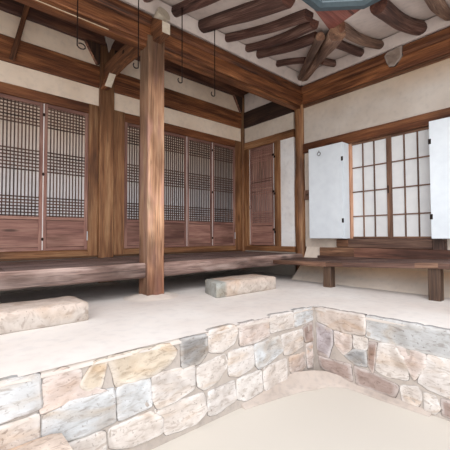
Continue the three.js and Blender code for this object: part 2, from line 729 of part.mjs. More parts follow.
const rafterPoint = (x, y, d) => new THREE.Vector3(x, y, soffit(d) - RAFTER_DROP);
const EAVE_END = 60; // rafter end in from the eave

function mainRafters() {
  const inner = SOFFIT_BREAK - 90;
  const court = spread(WEST - GABLE + RAFTER_INSET, -EAVE - 40, RAFTER_PITCH).map((x) =>
    log(rafterPoint(x, -EAVE + EAVE_END, EAVE_END), rafterPoint(x, -EAVE + inner, inner), RAFTER_RADIUS),
  );
  const jacks = [-1200, -850, -500].map((x) =>
    log(rafterPoint(x, x - 60, EAVE + x - 60), rafterPoint(x, -EAVE + inner, inner), RAFTER_RADIUS),
  );
  const rearEnd = REAR + EAVE - EAVE_END;
  const rear = spread(WEST - GABLE + RAFTER_INSET, EAST, RAFTER_PITCH).map((x) =>
    log(rafterPoint(x, rearEnd, EAVE_END), rafterPoint(x, REAR + 60, EAVE - 60), RAFTER_RADIUS),
  );
  return [...court, ...jacks, ...rear];
}

function wingRafters() {
  const wall = EAVE - 120;
  const court = spread(-EAVE - 40, SOUTH - GABLE + RAFTER_INSET, RAFTER_PITCH).map((y) =>
    log(rafterPoint(-EAVE + EAVE_END, y, EAVE_END), rafterPoint(-EAVE + wall, y, wall), RAFTER_RADIUS),
  );
  const jacks = [-1150, -750].map((y) =>
    log(rafterPoint(y - 60, y, EAVE + y - 60), rafterPoint(-EAVE + wall, y, wall), RAFTER_RADIUS),
  );
  const eastEnd = EAST + EAVE - EAVE_END;
  const east = spread(SOUTH - GABLE + RAFTER_INSET, REAR, RAFTER_PITCH).map((y) =>
    log(rafterPoint(eastEnd, y, EAVE_END), rafterPoint(EAST + 60, y, EAVE - 60), RAFTER_RADIUS),
  );
  return [...court, ...jacks, ...east];
}

// The valley rafter runs out from the corner post, and the hip rafter from the outer corner
function cornerRafters() {
  const reach = EAVE - EAVE_END;
  const low = soffit(EAVE_END) - RAFTER_DROP - 20;
  const high = low + SOFFIT_SLOPE * reach - 40;
  const diagonalLog = (x, y, side) => {
    const end = new THREE.Vector3(x + side * reach, y + side * reach, low);
    return log(end, new THREE.Vector3(x + side * 60, y + side * 60, high), CORNER_RAFTER_RADIUS, 8);
  };
  return [diagonalLog(0, 0, -1), diagonalLog(EAST, REAR, 1)];
}

// Three-sided filling where the two courtyard eaves meet
const CORNER_CUT = 320;
const eaveCorner = (low, high) =>
  alongZ([[-EAVE - CORNER_CUT, -EAVE], [-EAVE, -EAVE - CORNER_CUT], [-EAVE + 0.5, -EAVE + 0.5]], [low, high]);

const beamSpaces = [
  block([WEST - GABLE, 110], [-110, 110], [0, BEAM_TOP + GAP]),
  block([-110, 110], [SOUTH - GABLE, 0], [0, BEAM_TOP + GAP]),
];

const deck = cut(
  join(roofDeck(), mainRafters(), wingRafters(), cornerRafters(), eaveCorner(SOFFIT_EDGE, TILE_BED_EDGE)),
  beamSpaces,
);
place("roof_deck_main", deck.intersect(mainHalf), OLD_TIMBER);
place("roof_deck_wing", deck.intersect(wingHalf), OLD_TIMBER);

// Channel tiles as one skin, with rows of round tiles up each slope and ridges of stacked tiles
const RIDGE_HEIGHT = 260;
const RIDGE_HALF = 110;
const CHANNEL_TILE = 30;
const ROW_PITCH = 270;
const ROUND_ROW = { half: 68, topHalf: 42, low: CHANNEL_TILE / 2, high: 82 };
const HIP_ROW = { half: 95, topHalf: 70, low: CHANNEL_TILE / 2, high: 215 };
const HIP_START = 80; // in from the corner of the eaves
const MAIN_RIDGE_Y = (MAIN_EAVES[0] + MAIN_EAVES[1]) / 2;
const WING_RIDGE_X = (WING_EAVES[0] + WING_EAVES[1]) / 2;
const MAIN_RUN = MAIN_RIDGE_Y - MAIN_EAVES[0];
const WING_RUN = WING_RIDGE_X - WING_EAVES[0];
const MAIN_RIDGE_END = WING_EAVES[1] - MAIN_RUN;

// A row of tiles over the curve of a slope, along +Y from the eave at zero; hips cross the slope at an angle
function tileRow({ half, topHalf, low, high }, [from, to], stretch = 1) {
  const row = new THREE.BoxGeometry(2 * half, to - from, 1, 1, SLOPE_STEPS, 1);
  row.translate(0, (from + to) / 2, 0);
  const corners = row.attributes.position;
  range(corners.count).forEach((corner) => {
    const d = corners.getY(corner);
    const upper = corners.getZ(corner) > 0;
    const x = Math.sign(corners.getX(corner)) * (upper ? topHalf : half);
    corners.setXYZ(corner, x, d * stretch, tileBed(d) + (upper ? high : low));
  });
  return row;
}

// Rows at even places between the corners of a slope, kept to its outline in plan; the last would be a point
function slopeRows({ stops, run, turn, spot, outline }) {
  const places = stops.slice(1).flatMap((stop, index) => spread(stops[index], stop, ROW_PITCH).slice(0, -1));
  const rows = places.map((place) => {
    const at = Math.max(place, stops[0] + ROUND_ROW.half);
    return solidOf(tileRow(ROUND_ROW, [0, run]).rotateZ(turn).translate(...spot(at), 0));
  });
  return join(rows).intersect(alongZ(outline, [0, FAR]));
}

const WEST_END = WEST - GABLE;
const SOUTH_END = SOUTH - GABLE;
const HIP_TOP = [MAIN_RIDGE_END, MAIN_RIDGE_Y];
const VALLEY_TOP = [WING_RIDGE_X, MAIN_EAVES[0] + WING_RUN];
const OUTER_CORNER = [WING_EAVES[1], MAIN_EAVES[1]];
const VALLEY_FOOT = [-EAVE, -EAVE];

const SLOPES = [
  {
    stops: [WEST_END, -EAVE, MAIN_RIDGE_END, WING_RIDGE_X],
    run: MAIN_RUN,
    turn: 0,
    spot: (x) => [x, MAIN_EAVES[0]],
    outline: [[WEST_END, -EAVE], VALLEY_FOOT, VALLEY_TOP, HIP_TOP, [WEST_END, MAIN_RIDGE_Y]],
  },
  {
    stops: [SOUTH_END, -EAVE, VALLEY_TOP[1]],
    run: WING_RUN,
    turn: -Math.PI / 2,
    spot: (y) => [WING_EAVES[0], y],
    outline: [[-EAVE, SOUTH_END], [WING_RIDGE_X, SOUTH_END], VALLEY_TOP, VALLEY_FOOT],
  },
  {
    stops: [SOUTH_END, VALLEY_TOP[1], MAIN_RIDGE_Y, MAIN_EAVES[1]],
    run: MAIN_RUN,
    turn: Math.PI / 2,
    spot: (y) => [WING_EAVES[1], y],
    outline: [[WING_RIDGE_X, SOUTH_END], [WING_EAVES[1], SOUTH_END], OUTER_CORNER, HIP_TOP, VALLEY_TOP],
  },
  {
    stops: [WEST_END, MAIN_RIDGE_END, WING_EAVES[1]],
    run: MAIN_RUN,
    turn: Math.PI,
    spot: (x) => [x, MAIN_EAVES[1]],
    outline: [[WEST_END, MAIN_RIDGE_Y], HIP_TOP, OUTER_CORNER, [WEST_END, MAIN_EAVES[1]]],
  },
];

function ridges() {
  const across = (middle) => [middle - RIDGE_HALF, middle + RIDGE_HALF];
  const heights = (run) => [tileBed(run), tileTop(run) + RIDGE_HEIGHT];
  return [
    block([WEST_END, MAIN_RIDGE_END], across(MAIN_RIDGE_Y), heights(MAIN_RUN)),
    block(across(WING_RIDGE_X), [SOUTH_END, VALLEY_TOP[1]], heights(WING_RUN)),
  ];
}

// Over the outer corner, and between the ends of the two ridges
function hips() {
  const corner = tileRow(HIP_ROW, [HIP_START, MAIN_RUN], Math.SQRT2);
  const link = tileRow(HIP_ROW, [WING_RUN, MAIN_RUN], Math.SQRT2);
  return [
    solidOf(corner.rotateZ((3 * Math.PI) / 4).translate(...OUTER_CORNER, 0)),
    solidOf(link.rotateZ(Math.PI / 4).translate(WING_EAVES[1], MAIN_EAVES[0], 0)),
  ];
}

const channelTop = (d) => tileBed(d) + CHANNEL_TILE;
const tiles = join(
  cut(underRoof(channelTop, TILE_BED_EDGE + GAP), underRoof((d) => tileBed(d) + GAP, TILE_BED_EDGE - 1000)),
  SLOPES.map(slopeRows),
  ridges(),
  hips(),
  eaveCorner(TILE_BED_EDGE + GAP, TILE_BED_EDGE + CHANNEL_TILE),
);
place("roof_tiles_main", tiles.intersect(mainHalf), TILE);
place("roof_tiles_wing", tiles.intersect(wingHalf), TILE);

// Gutter along both courtyard eaves, cutting across the corner
const GUTTER_WIDTH = 110;
const GUTTER_HEIGHTS = [level(2740), level(2850)];

function gutterOutline() {
  const inner = -EAVE - GAP;
  const outer = inner - GUTTER_WIDTH;
  const innerBend = inner - CORNER_CUT;
  const outerBend = innerBend - GUTTER_WIDTH * Math.tan(Math.PI / 8);
  return [
    [WEST - GABLE, inner],
    [innerBend, inner],
    [inner, innerBend],
    [inner, SOUTH - GABLE],
    [outer, SOUTH - GABLE],
    [outer, outerBend],
    [outerBend, outer],
    [WEST - GABLE, outer],
  ];
}

place("gutter", alongZ(gutterOutline(), GUTTER_HEIGHTS), GUTTER);

// Rear and end walls: posts and rails stand a little proud of the plaster

const TIMBER_OUT = HALF_POST;
const RAIL_OUT = 75;
const RAIL_HEIGHT = 140;
const RAILS = [level(300), level(860), level(1900), level(2690)];
const REAR_WINDOW = { half: 450, low: level(1000), high: level(1900) };

// A wall with its posts and rails, and with windows centred at the given distances along it
function framedWall(length, bays, top, windows) {
  const bay = length / bays;
  const sheet = block([0, length], [-WALL_OUT, WALL_IN], [TERRACE_TOP + GAP, top]);
  const posts = range(bays + 1).map((post) => {
    const x = Math.min(Math.max(post * bay, HALF_POST), length - HALF_POST);
    return block([x - HALF_POST, x + HALF_POST], [-TIMBER_OUT, 0], [TERRACE_TOP + GAP, top]);
  });
  const rails = RAILS.map((z) => block([0, length], [-RAIL_OUT, 0], [z, Math.min(z + RAIL_HEIGHT, top)]));
  const { half, low, high } = REAR_WINDOW;
  const holes = windows.map((x) => block([x - half, x + half], [-TIMBER_OUT - 1, WALL_IN + 1], [low, high]));
  return cut(join(sheet, posts, rails), holes);
}

// Wall ends keep clear of the posts that belong to the front rows
const END = HALF_POST + GAP;

const rearLength = EAST - WEST + 2 * HALF_POST;
const rearWindows = [rearLength / 6, rearLength / 2, (5 * rearLength) / 6];
const rearWall = framedWall(rearLength, 3, BEAM_TOP, rearWindows);
place("rear_wall", rearWall, PLASTER, [EAST + HALF_POST, REAR, 0], Math.PI);

const eastLength = REAR - SOUTH + HALF_POST - WALL_IN - GAP;
const eastWindows = [eastLength / 8, (3 * eastLength) / 8, (5 * eastLength) / 8];
const eastWall = framedWall(eastLength, 4, BEAM_TOP, eastWindows);
place("east_wall", eastWall, PLASTER, [EAST, SOUTH - HALF_POST, 0], Math.PI / 2);

// The end walls rise into the gables
function gableTop(low, high, eaves) {
  const heights = (at) => soffit(Math.min(at - eaves[0], eaves[1] - at)) - GAP - 1;
  const ridge = (eaves[0] + eaves[1]) / 2;
  const breaks = [eaves[0] + SOFFIT_BREAK, eaves[1] - SOFFIT_BREAK].filter((at) => at > low && at < high);
  const marks = [...new Set([low, ...breaks, ridge, high])].sort((a, b) => a - b);
  return [[low, TERRACE_TOP + GAP], ...marks.map((at) => [at, heights(at)]), [high, TERRACE_TOP + GAP]];
}

function westWall() {
  const y = [INNER + END, REAR - WALL_IN - GAP];
  const sheet = alongX(gableTop(y[0], y[1], MAIN_EAVES), [WEST - WALL_OUT, WEST + WALL_IN]);
  const rails = RAILS.map((z) => block([WEST - RAIL_OUT, WEST], y, [z, z + RAIL_HEIGHT]));
  return cut(join(sheet, rails), foundationSpaces);
}

function southWall() {
  const x = [END, EAST - WALL_IN - GAP];
  const sheet = alongY(gableTop(x[0], x[1], WING_EAVES), [SOUTH - WALL_OUT, SOUTH + WALL_IN]);
  const rails = RAILS.map((z) => block(x, [SOUTH - RAIL_OUT, SOUTH], [z, z + RAIL_HEIGHT]));
  const middle = (x[0] + x[1]) / 2;
  const { half, low, high } = REAR_WINDOW;
  const hole = block([middle - half, middle + half], [SOUTH - 200, SOUTH + 200], [low, high]);
  return cut(join(sheet, rails), hole, foundationSpaces);
}

place("west_wall", westWall(), PLASTER);
place("south_wall", southWall(), PLASTER);

// Papered inner screens close the windows of the rear, east and south walls
const SCREEN = 24;
const SCREEN_MARGIN = 60;
const screenHeights = [REAR_WINDOW.low - SCREEN_MARGIN, REAR_WINDOW.high + SCREEN_MARGIN];
const rearFace = REAR - WALL_IN - GAP;
const eastFace = EAST - WALL_IN - GAP;
const southFace = SOUTH + WALL_IN + GAP;
const rearSpan = [WEST + END + 20, eastFace - SCREEN_MARGIN];
const eastSpan = [southFace + SCREEN_MARGIN, rearFace - SCREEN_MARGIN];
const southSpan = [END + SCREEN_MARGIN, eastFace - SCREEN_MARGIN];
place("rear_screens", block(rearSpan, [rearFace - SCREEN, rearFace], screenHeights), PAPER);
place("east_screens", block([eastFace - SCREEN, eastFace], eastSpan, screenHeights), PAPER);
place("south_screen", block(southSpan, [southFace, southFace + SCREEN], screenHeights), PAPER);

export default house;
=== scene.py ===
import math
import random

import bmesh
import bpy
from mathutils import Matrix, Vector, noise


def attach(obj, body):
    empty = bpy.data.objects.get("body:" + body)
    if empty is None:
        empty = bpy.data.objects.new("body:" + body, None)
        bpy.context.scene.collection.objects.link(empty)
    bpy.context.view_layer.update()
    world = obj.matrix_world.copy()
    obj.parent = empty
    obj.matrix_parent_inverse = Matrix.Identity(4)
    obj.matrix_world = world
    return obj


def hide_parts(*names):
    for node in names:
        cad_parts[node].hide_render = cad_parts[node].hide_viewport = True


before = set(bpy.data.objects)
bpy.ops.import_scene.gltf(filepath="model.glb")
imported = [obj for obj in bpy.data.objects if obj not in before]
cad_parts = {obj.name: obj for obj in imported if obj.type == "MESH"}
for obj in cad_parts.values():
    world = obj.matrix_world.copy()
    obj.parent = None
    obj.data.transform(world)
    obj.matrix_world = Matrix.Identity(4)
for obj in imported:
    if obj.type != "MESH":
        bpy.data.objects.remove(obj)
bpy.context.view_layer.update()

random.seed(41)

# Shared dimensions, in metres, as in the part's source
TERRACE = 0.616
WEST, EAST, INNER, REAR, SOUTH = -5.4, 2.7, 1.35, 4.05, -5.6
BAY, WING_BAY = 2.7, 2.8
EAVE, GABLE = 1.5, 0.75
WEST_END, SOUTH_END = WEST - GABLE, SOUTH - GABLE
HALF_POST = 0.1025
LEAF = 0.5415
# Edges of the terrace, along the court and round the outside
FRONT, COURT = -1.458, -1.829
BASE_WEST, BASE_EAST, BASE_REAR, BASE_SOUTH = WEST - 0.8, EAST + 0.8, REAR + 0.8, SOUTH - 0.8
# Lengths of the roof slopes on plan, where the rafters turn steeper, and the cut of the eaves' corner
MAIN_RUN = (REAR + 2 * EAVE) / 2
WING_RUN = (EAST + 2 * EAVE) / 2
SOFFIT_BREAK = EAVE + INNER
CORNER_CUT = 0.32
X, Y, Z = Vector((1, 0, 0)), Vector((0, 1, 0)), Vector((0, 0, 1))
WHITE = (1, 1, 1)


def level(height):
    """A height above the terrace top."""
    return TERRACE + height


def rgb(code):
    """Linear colour of a hex code."""
    values = [int(code[i : i + 2], 16) / 255 for i in (0, 2, 4)]
    return tuple(v / 12.92 if v < 0.04045 else ((v + 0.055) / 1.055) ** 2.4 for v in values)


# Materials


class Nodes:
    """A material's node tree, with short ways to add and join nodes."""

    def __init__(self, name, roughness, **sockets):
        self.material = bpy.data.materials.new(name)
        self.material.use_nodes = True
        self.tree = self.material.node_tree
        self.shader = self.tree.nodes["Principled BSDF"]
        self.shader.inputs["Roughness"].default_value = roughness
        for key, value in sockets.items():
            self.shader.inputs[key.replace("_", " ")].default_value = value

    def add(self, kind, links=(), **values):
        node = self.tree.nodes.new(kind)
        for key, value in values.items():
            setattr(node, key, value)
        for socket, source in dict(links).items():
            if hasattr(source, "is_output"):
                self.tree.links.new(source, node.inputs[socket])
            else:
                node.inputs[socket].default_value = source
        return node

    def attribute(self, name, output):
        return self.add("ShaderNodeAttribute", attribute_name=name).outputs[output]

    def noise(self, vector, scale, detail=4, stretch=(1, 1, 1), distortion=0.0):
        mapped = self.add("ShaderNodeMapping", {"Vector": vector, "Scale": stretch}).outputs[0]
        links = {"Vector": mapped, "Scale": scale, "Detail": detail, "Distortion": distortion}
        return self.add("ShaderNodeTexNoise", links).outputs["Fac"]

    def ramp(self, fac, stops):
        node = self.add("ShaderNodeValToRGB", {"Fac": fac})
        points = node.color_ramp.elements
        while len(points) < len(stops):
            points.new(0.5)
        for point, (at, color) in zip(points, stops):
            point.position = at
            point.color = (*color, 1)
        return node.outputs["Color"]

    def mix(self, fac, a, b, blend="MIX"):
        a, b = (c if hasattr(c, "is_output") else (*c, 1) for c in (a, b))
        return self.add("ShaderNodeMix", {0: fac, 6: a, 7: b}, data_type="RGBA", blend_type=blend).outputs[2]

    def finish(self, color, height, strength, distance):
        """Join the colour, times the tone of each corner, and the bumps to the shader."""
        toned = self.mix(1.0, color, self.attribute("tone", "Color"), "MULTIPLY")
        self.tree.links.new(toned, self.shader.inputs["Base Color"])
        links = {"Height": height, "Strength": strength, "Distance": distance}
        bump = self.add("ShaderNodeBump", links)
        self.tree.links.new(bump.outputs[0], self.shader.inputs["Normal"])
        return self.material


def wood(name, dark, middle, light, roughness=0.62, crack=0.35, worn=None):
    """Timber: streaks along the grain, fine fibres, dark checks and knots, and pale worn patches."""
    n = Nodes(name, roughness)
    grain = n.attribute("grain", "Vector")
    broad = n.noise(grain, 2.6, 3, (0.4, 5, 5), 0.6)
    fibres = n.noise(grain, 9.0, 6, (0.45, 20, 20))
    both = n.mix(0.5, broad, fibres)
    color = n.ramp(both, [(0.34, rgb(dark)), (0.5, rgb(middle)), (0.66, rgb(light))])
    if worn:
        patches = n.noise(grain, 2.2, 5, (0.9, 4, 4))
        mask = n.ramp(patches, [(0.5, (0, 0, 0)), (0.66, (0.85, 0.85, 0.85))])
        color = n.mix(mask, color, rgb(worn))
    stains = n.noise(grain, 1.3, 4, (0.8, 2.5, 2.5))
    color = n.mix(1.0, color, n.ramp(stains, [(0.34, (0.5, 0.46, 0.44)), (0.5, WHITE)]), "MULTIPLY")
    checks = n.noise(grain, 6.0, 2, (0.12, 8, 8), 0.2)
    lines = n.ramp(checks, [(0.472, WHITE), (0.49, (crack, crack, crack)), (0.508, WHITE)])
    color = n.mix(1.0, color, lines, "MULTIPLY")
    mapped = n.add("ShaderNodeMapping", {"Vector": grain, "Scale": (1.1, 5.5, 5.5)}).outputs[0]
    cells = n.add("ShaderNodeTexVoronoi", {"Vector": mapped, "Scale": 1.0, "Randomness": 1.0})
    spots = n.ramp(cells.outputs["Distance"], [(0.05, (0.35, 0.35, 0.35)), (0.12, WHITE)])
    color = n.mix(1.0, color, spots, "MULTIPLY")
    height = n.mix(0.5, fibres, lines)
    return n.finish(color, height, 0.6, 0.006)


def mineral(name, base, spots, roughness=0.92, scale=1.0, bump=0.35, grit=0.35):
    """Plaster, mortar or stone: broad mottling, small spots and a gritty surface."""
    n = Nodes(name, roughness)
    place = n.attribute("grain", "Vector")
    broad = n.noise(place, 1.7 * scale, 5)
    small = n.noise(place, 14 * scale, 6)
    fine = n.noise(place, 70 * scale, 4)
    color = n.ramp(broad, [(0.3, rgb(spots)), (0.62, rgb(base))])
    dots = n.ramp(small, [(0.3, (0.72, 0.72, 0.74)), (0.5, WHITE), (0.78, (1.08, 1.06, 1.03))])
    color = n.mix(grit, color, n.mix(1.0, color, dots, "MULTIPLY"))
    height = n.mix(0.5, small, fine)
    return n.finish(color, height, bump, 0.006)


def rubble(name):
    """Split stone: each stone's own tone with soft streaks, faint stains, specks and a rough face."""
    n = Nodes(name, 0.9)
    place = n.attribute("grain", "Vector")
    patches = n.noise(place, 7.0, 5, (1, 1, 1), 0.6)
    streaks = n.noise(place, 10, 7, (1, 3.4, 1), 1.2)
    fine = n.noise(place, 60, 6)
    color = n.ramp(patches, [(0.3, rgb("dfdbd8")), (0.6, rgb("ffffff"))])
    soft = [(0.34, rgb("cfc7c2")), (0.43, WHITE), (0.57, WHITE), (0.66, rgb("dcd6d1"))]
    color = n.mix(0.65, color, n.mix(1.0, color, n.ramp(streaks, soft), "MULTIPLY"))
    stains = n.noise(place, 3.1, 4, (1, 2.4, 1), 0.8)
    warm = n.ramp(stains, [(0.52, WHITE), (0.7, rgb("f0dcc6"))])
    color = n.mix(0.7, color, n.mix(1.0, color, warm, "MULTIPLY"))
    specks = n.ramp(fine, [(0.31, rgb("a8a09b")), (0.38, WHITE)])
    color = n.mix(0.6, color, n.mix(1.0, color, specks, "MULTIPLY"))
    return n.finish(color, n.mix(0.4, streaks, fine), 0.6, 0.008)


def plain(name, code, roughness, spots=None, bump=0.1, scale=30, **sockets):
    """A nearly even finish, such as paper, paint or iron, with faint spots."""
    n = Nodes(name, roughness, **sockets)
    place = n.attribute("grain", "Vector")
    mottling = n.noise(place, 4.0, 5)
    fine = n.noise(place, scale, 5)
    color = n.ramp(n.mix(0.4, mottling, fine), [(0.35, rgb(spots or code)), (0.6, rgb(code))])
    return n.finish(color, fine, bump, 0.002)


BEAM = wood("beam_timber", "2f1b12", "6f4830", "ab754e")
POST = wood("post_timber", "8c6448", "c89b7a", "e6c8a8", 0.7, 0.4, worn="c09484")
GOLD = wood("jamb_timber", "5f3a24", "9c6c47", "c49c72", 0.55, 0.5)
SASH = wood("sash_timber", "4c3529", "7d5c49", "9c7860", 0.6, 0.7)
DOOR = wood("door_timber", "75504a", "a5796c", "c29a8a", 0.6, 0.6)
LATTICE = wood("lattice_timber", "35241e", "5a4036", "785a4a", 0.65, 0.8)
FLOOR = wood("floor_timber", "3a3032", "6a5856", "968480", 0.5, 0.4, worn="a08e88")
EDGE = wood("porch_edge_timber", "4a3a37", "826a62", "ac948c", 0.6, 0.3, worn="b8a49c")
BENCH = wood("bench_timber", "3a2a25", "735649", "a0816e", 0.55, 0.4)
RAFTER = wood("rafter_timber", "2a1b1a", "62443c", "94766a", 0.75, 0.35)
PALE_LOG = wood("pale_log_timber", "4d3a32", "866a5b", "b69c88", 0.75, 0.35)
DARK = wood("dark_timber", "170f0d", "3a2620", "5e4534", 0.65, 0.5)
REDDISH = wood("reddish_beam_timber", "331b11", "7b4a2d", "b97d50", 0.55, 0.45)
PLASTER = mineral("wall_plaster", "e0d6ca", "cfc2b4", grit=0.3, bump=0.18)
SOFFIT = mineral("soffit_plaster", "ddd3ce", "c9bcb6", grit=0.4, bump=0.25)
CEMENT = mineral("terrace_cement", "f5f1ed", "e8e0da", scale=0.8, bump=0.35, grit=0.25)
MORTAR = mineral("terrace_mortar", "dcd6d1", "cbc3bd", scale=1.6, bump=0.9, grit=0.5)
STONE = rubble("rubble_stone")
PAPER = plain("door_paper", "e9e8e4", 0.9, "dcdbd8")
SHUTTER = plain("shutter_paper", "e9f3fb", 0.8, "e0eaf3", scale=12)
WHITE_PAINT = plain("white_paint", "e6ddcd", 0.8, "cfc2ad")
TILE = mineral("roof_tile", "5b5f61", "3b3e40", roughness=0.75, scale=3.0, bump=0.3, grit=0.6)
IRON = plain("iron", "231d1b", 0.5, "3a2820", bump=0.3, Metallic=0.7)
GUTTER = plain("gutter_paint", "4a5a62", 0.35, "3d4c54", Metallic=0.2)
# Pale paint for the gutter's painted highlights.
GUTTER_HIGHLIGHT = plain("gutter_painted_highlight", "dfe9ee", 0.3)
FASCIA = wood("fascia_timber", "4c2723", "704039", "8a5a50", 0.5, 0.7)


# Pieces


def tint(code, spread=0.0):
    """A tone from a hex code, a little lighter or darker at random."""
    k = 1 + random.uniform(-spread, spread)
    return tuple(c * k for c in rgb(code))


def shade(spread, middle=1.0):
    """A grey tone near the middle one, drawn at random."""
    k = middle + random.uniform(-spread, spread)
    return (k, k, k)


class Piece:
    """Faces with a place along the grain and a tone at each corner."""

    def __init__(self):
        self.verts, self.faces, self.grain, self.tone = [], [], [], []

    def add(self, verts, faces, grain=None, tone=WHITE):
        base = len(self.verts)
        self.verts += [tuple(v) for v in verts]
        self.faces += [[base + i for i in face] for face in faces]
        self.grain += [tuple(g) for g in (grain or verts)]
        self.tone += tone if isinstance(tone, list) else [tone] * len(verts)

    def make(self, name, material, slot, nodes=(), body="house", smooth=35):
        """Turn the faces into a named piece that rides on a body and stands for CAD nodes."""
        mesh = bpy.data.meshes.new(name)
        mesh.from_pydata(self.verts, [], self.faces)
        mesh.materials.append(material)
        grain = mesh.attributes.new("grain", "FLOAT_VECTOR", "POINT")
        grain.data.foreach_set("vector", [c for g in self.grain for c in g])
        tone = mesh.color_attributes.new("tone", "FLOAT_COLOR", "POINT")
        tone.data.foreach_set("color", [c for t in self.tone for c in (*t, 1)])
        mesh.shade_smooth()
        mesh.set_sharp_from_angle(angle=math.radians(smooth))
        piece = bpy.data.objects.new(name, mesh)
        bpy.context.collection.objects.link(piece)
        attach(piece, body)
        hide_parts(*nodes)
        return piece


def points_of(rings):
    """All points of the rings, in order."""
    return [p for ring in rings for p in ring]


def loft(piece, rings, grain=None, tone=WHITE):
    """A closed skin over rings of equally many points, which are its grain too unless one is given."""
    count = len(rings[0])
    verts = points_of(rings)
    faces = []
    for r in range(len(rings) - 1):
        for i in range(count):
            j = (i + 1) % count
            faces.append((r * count + i, r * count + j, (r + 1) * count + j, (r + 1) * count + i))
    last = (len(rings) - 1) * count
    faces.append(tuple(reversed(range(count))))
    faces.append(tuple(range(last, last + count)))
    piece.add(verts, faces, grain, tone)


def random_shift():
    """A random place in the textures, so that no two timbers look alike."""
    return Vector([random.uniform(0, 40) for _ in range(3)])


def section(width, height, chamfer):
    """Outline of a squared timber with eased corners and a point in the middle of each face."""
    a, b, c = width / 2, height / 2, min(chamfer, width / 3, height / 3)
    quarter = [(a, c - b), (a, 0), (a, b - c), (a - c, b), (0, b)]
    return quarter + [(c - a, b), (-a, b - c), (-a, 0), (-a, c - b), (c - a, -b), (0, -b), (a - c, -b)]


def timber(
    piece, start, end, width, height, up=Z, chamfer=0.008, wobble=0.0025, step=0.22, tone=None, paint=None
):
    """A squared timber between two points, its width across up and its height along up."""
    start, end = Vector(start), Vector(end)
    length = (end - start).length
    along = (end - start) / length
    side = along.cross(Vector(up)).normalized()
    top = side.cross(along)
    shift = random_shift()
    tone = tone or shade(0.1)
    count = max(1, round(length / step)) if wobble else 1
    rings, grain, tones = [], [], []
    for i in range(count + 1):
        s = length * i / count
        centre = start + along * s
        ring = []
        for u, v in section(width, height, chamfer):
            radial = side * u + top * v
            swell = 1 + wobble * noise.noise((centre + radial) * 3.5 + shift) / radial.length
            ring.append(centre + radial * swell)
            grain.append(Vector((s, u, v)) + shift)
            tones.append(paint(ring[-1], tone) if paint else tone)
        rings.append(ring)
    loft(piece, rings, grain, tones)


def smooth_path(points, step):
    """Points at equal steps along a smooth curve through the given ones, with their fractions."""
    pts = [Vector(p) for p in points]
    pts = [2 * pts[0] - pts[1], *pts, 2 * pts[-1] - pts[-2]]
    fine = []
    for i in range(1, len(pts) - 2):
        a, b, c, d = pts[i - 1 : i + 3]
        for k in range(12):
            t = k / 12
            square, cube = (2 * a - 5 * b + 4 * c - d) * t * t, (3 * b - 3 * c + d - a) * t**3
            fine.append(0.5 * (2 * b + (c - a) * t + square + cube))
    fine.append(pts[-2])
    lengths = [0.0]
    for a, b in zip(fine, fine[1:]):
        lengths.append(lengths[-1] + (b - a).length)
    count = max(2, round(lengths[-1] / step))
    path, j = [], 0
    for i in range(count + 1):
        s = lengths[-1] * i / count
        while j < len(lengths) - 2 and lengths[j + 1] < s:
            j += 1
        t = (s - lengths[j]) / max(1e-9, lengths[j + 1] - lengths[j])
        path.append((fine[j].lerp(fine[j + 1], min(1, t)), s, i / count))
    return path


def log(piece, points, radii, sides=14, rough=0.08, step=0.09, tone=None, ends=None, up=Z, flat=0.0):
    """A round log along a curve, its radii from end to end; flat hews its underside, ends tones its ends."""
    path = smooth_path(points, step)
    shift = random_shift()
    tone = tone or shade(0.15)
    rings, grain = [], []
    for k, (centre, s, t) in enumerate(path):
        before, after = path[max(0, k - 1)][0], path[min(len(path) - 1, k + 1)][0]
        along = (after - before).normalized()
        side = along.cross(Vector(up)).normalized()
        top = side.cross(along)
        at = t * (len(radii) - 1)
        i = min(int(at), len(radii) - 2)
        radius = radii[i] + (radii[i + 1] - radii[i]) * (at - i)
        ring = []
        for m in range(sides):
            angle = 2 * math.pi * m / sides
            u, v = math.cos(angle), math.sin(angle)
            if flat and v < -1 + flat:
                v = -1 + flat
            knot = noise.noise(centre * 2.2 + Vector((u, v, 0)) * 0.9 + shift)
            r = radius * (1 + rough * 2 * knot)
            ring.append(centre + (side * u + top * v) * r)
            grain.append(Vector((s, u * radius, v * radius)) + shift)
        rings.append(ring)
    loft(piece, rings, grain, tone)
    if ends:
        first, last = path[0][0] - path[1][0], path[-1][0] - path[-2][0]
        for ring, out, turn in ((rings[0], first.normalized(), -1), (rings[-1], last.normalized(), 1)):
            centre = sum(ring, Vector()) / sides
            face = [centre + (p - centre) * 0.97 + out * 0.003 for p in ring]
            back = [centre + (p - centre) * 0.97 - out * 0.01 for p in ring]
            loft(piece, [back, face][::turn], [p + shift for p in back + face], ends)


def plate(piece, outline, place, low, high, tone=None, along=None):
    """A plate with the given outline, place(u, v, w) giving a point; its grain runs along u or v."""
    tone = tone or shade(0.1)
    shift = random_shift()
    rings = [[place(u, v, w) for u, v in outline] for w in (low, high)]
    turned = [(v, u) if along == "v" else (u, v) for u, v in outline]
    grain = [Vector((*g, w)) + shift for w in (low, high) for g in turned]
    loft(piece, rings, grain, tone)


def flat(u, v, w):
    """Place of a level plate."""
    return u, v, w


def facing_court(u, v, w):
    """Place of an upright plate along X."""
    return u, w, v


def slab(piece, low, high, tone=None, wobble=0.002, chamfer=0.006, step=0.22, paint=None):
    """A squared block between two corners, its grain along the longest side."""
    low, high = Vector(low), Vector(high)
    size = high - low
    k = max(range(3), key=lambda i: size[i])
    a, b = [i for i in range(3) if i != k]
    middle = (low + high) / 2
    start, end = middle.copy(), middle.copy()
    start[k], end[k] = low[k], high[k]
    up = Vector([1.0 if i == b else 0.0 for i in range(3)])
    timber(piece, start, end, size[a], size[b], up, chamfer, wobble, step, tone, paint)


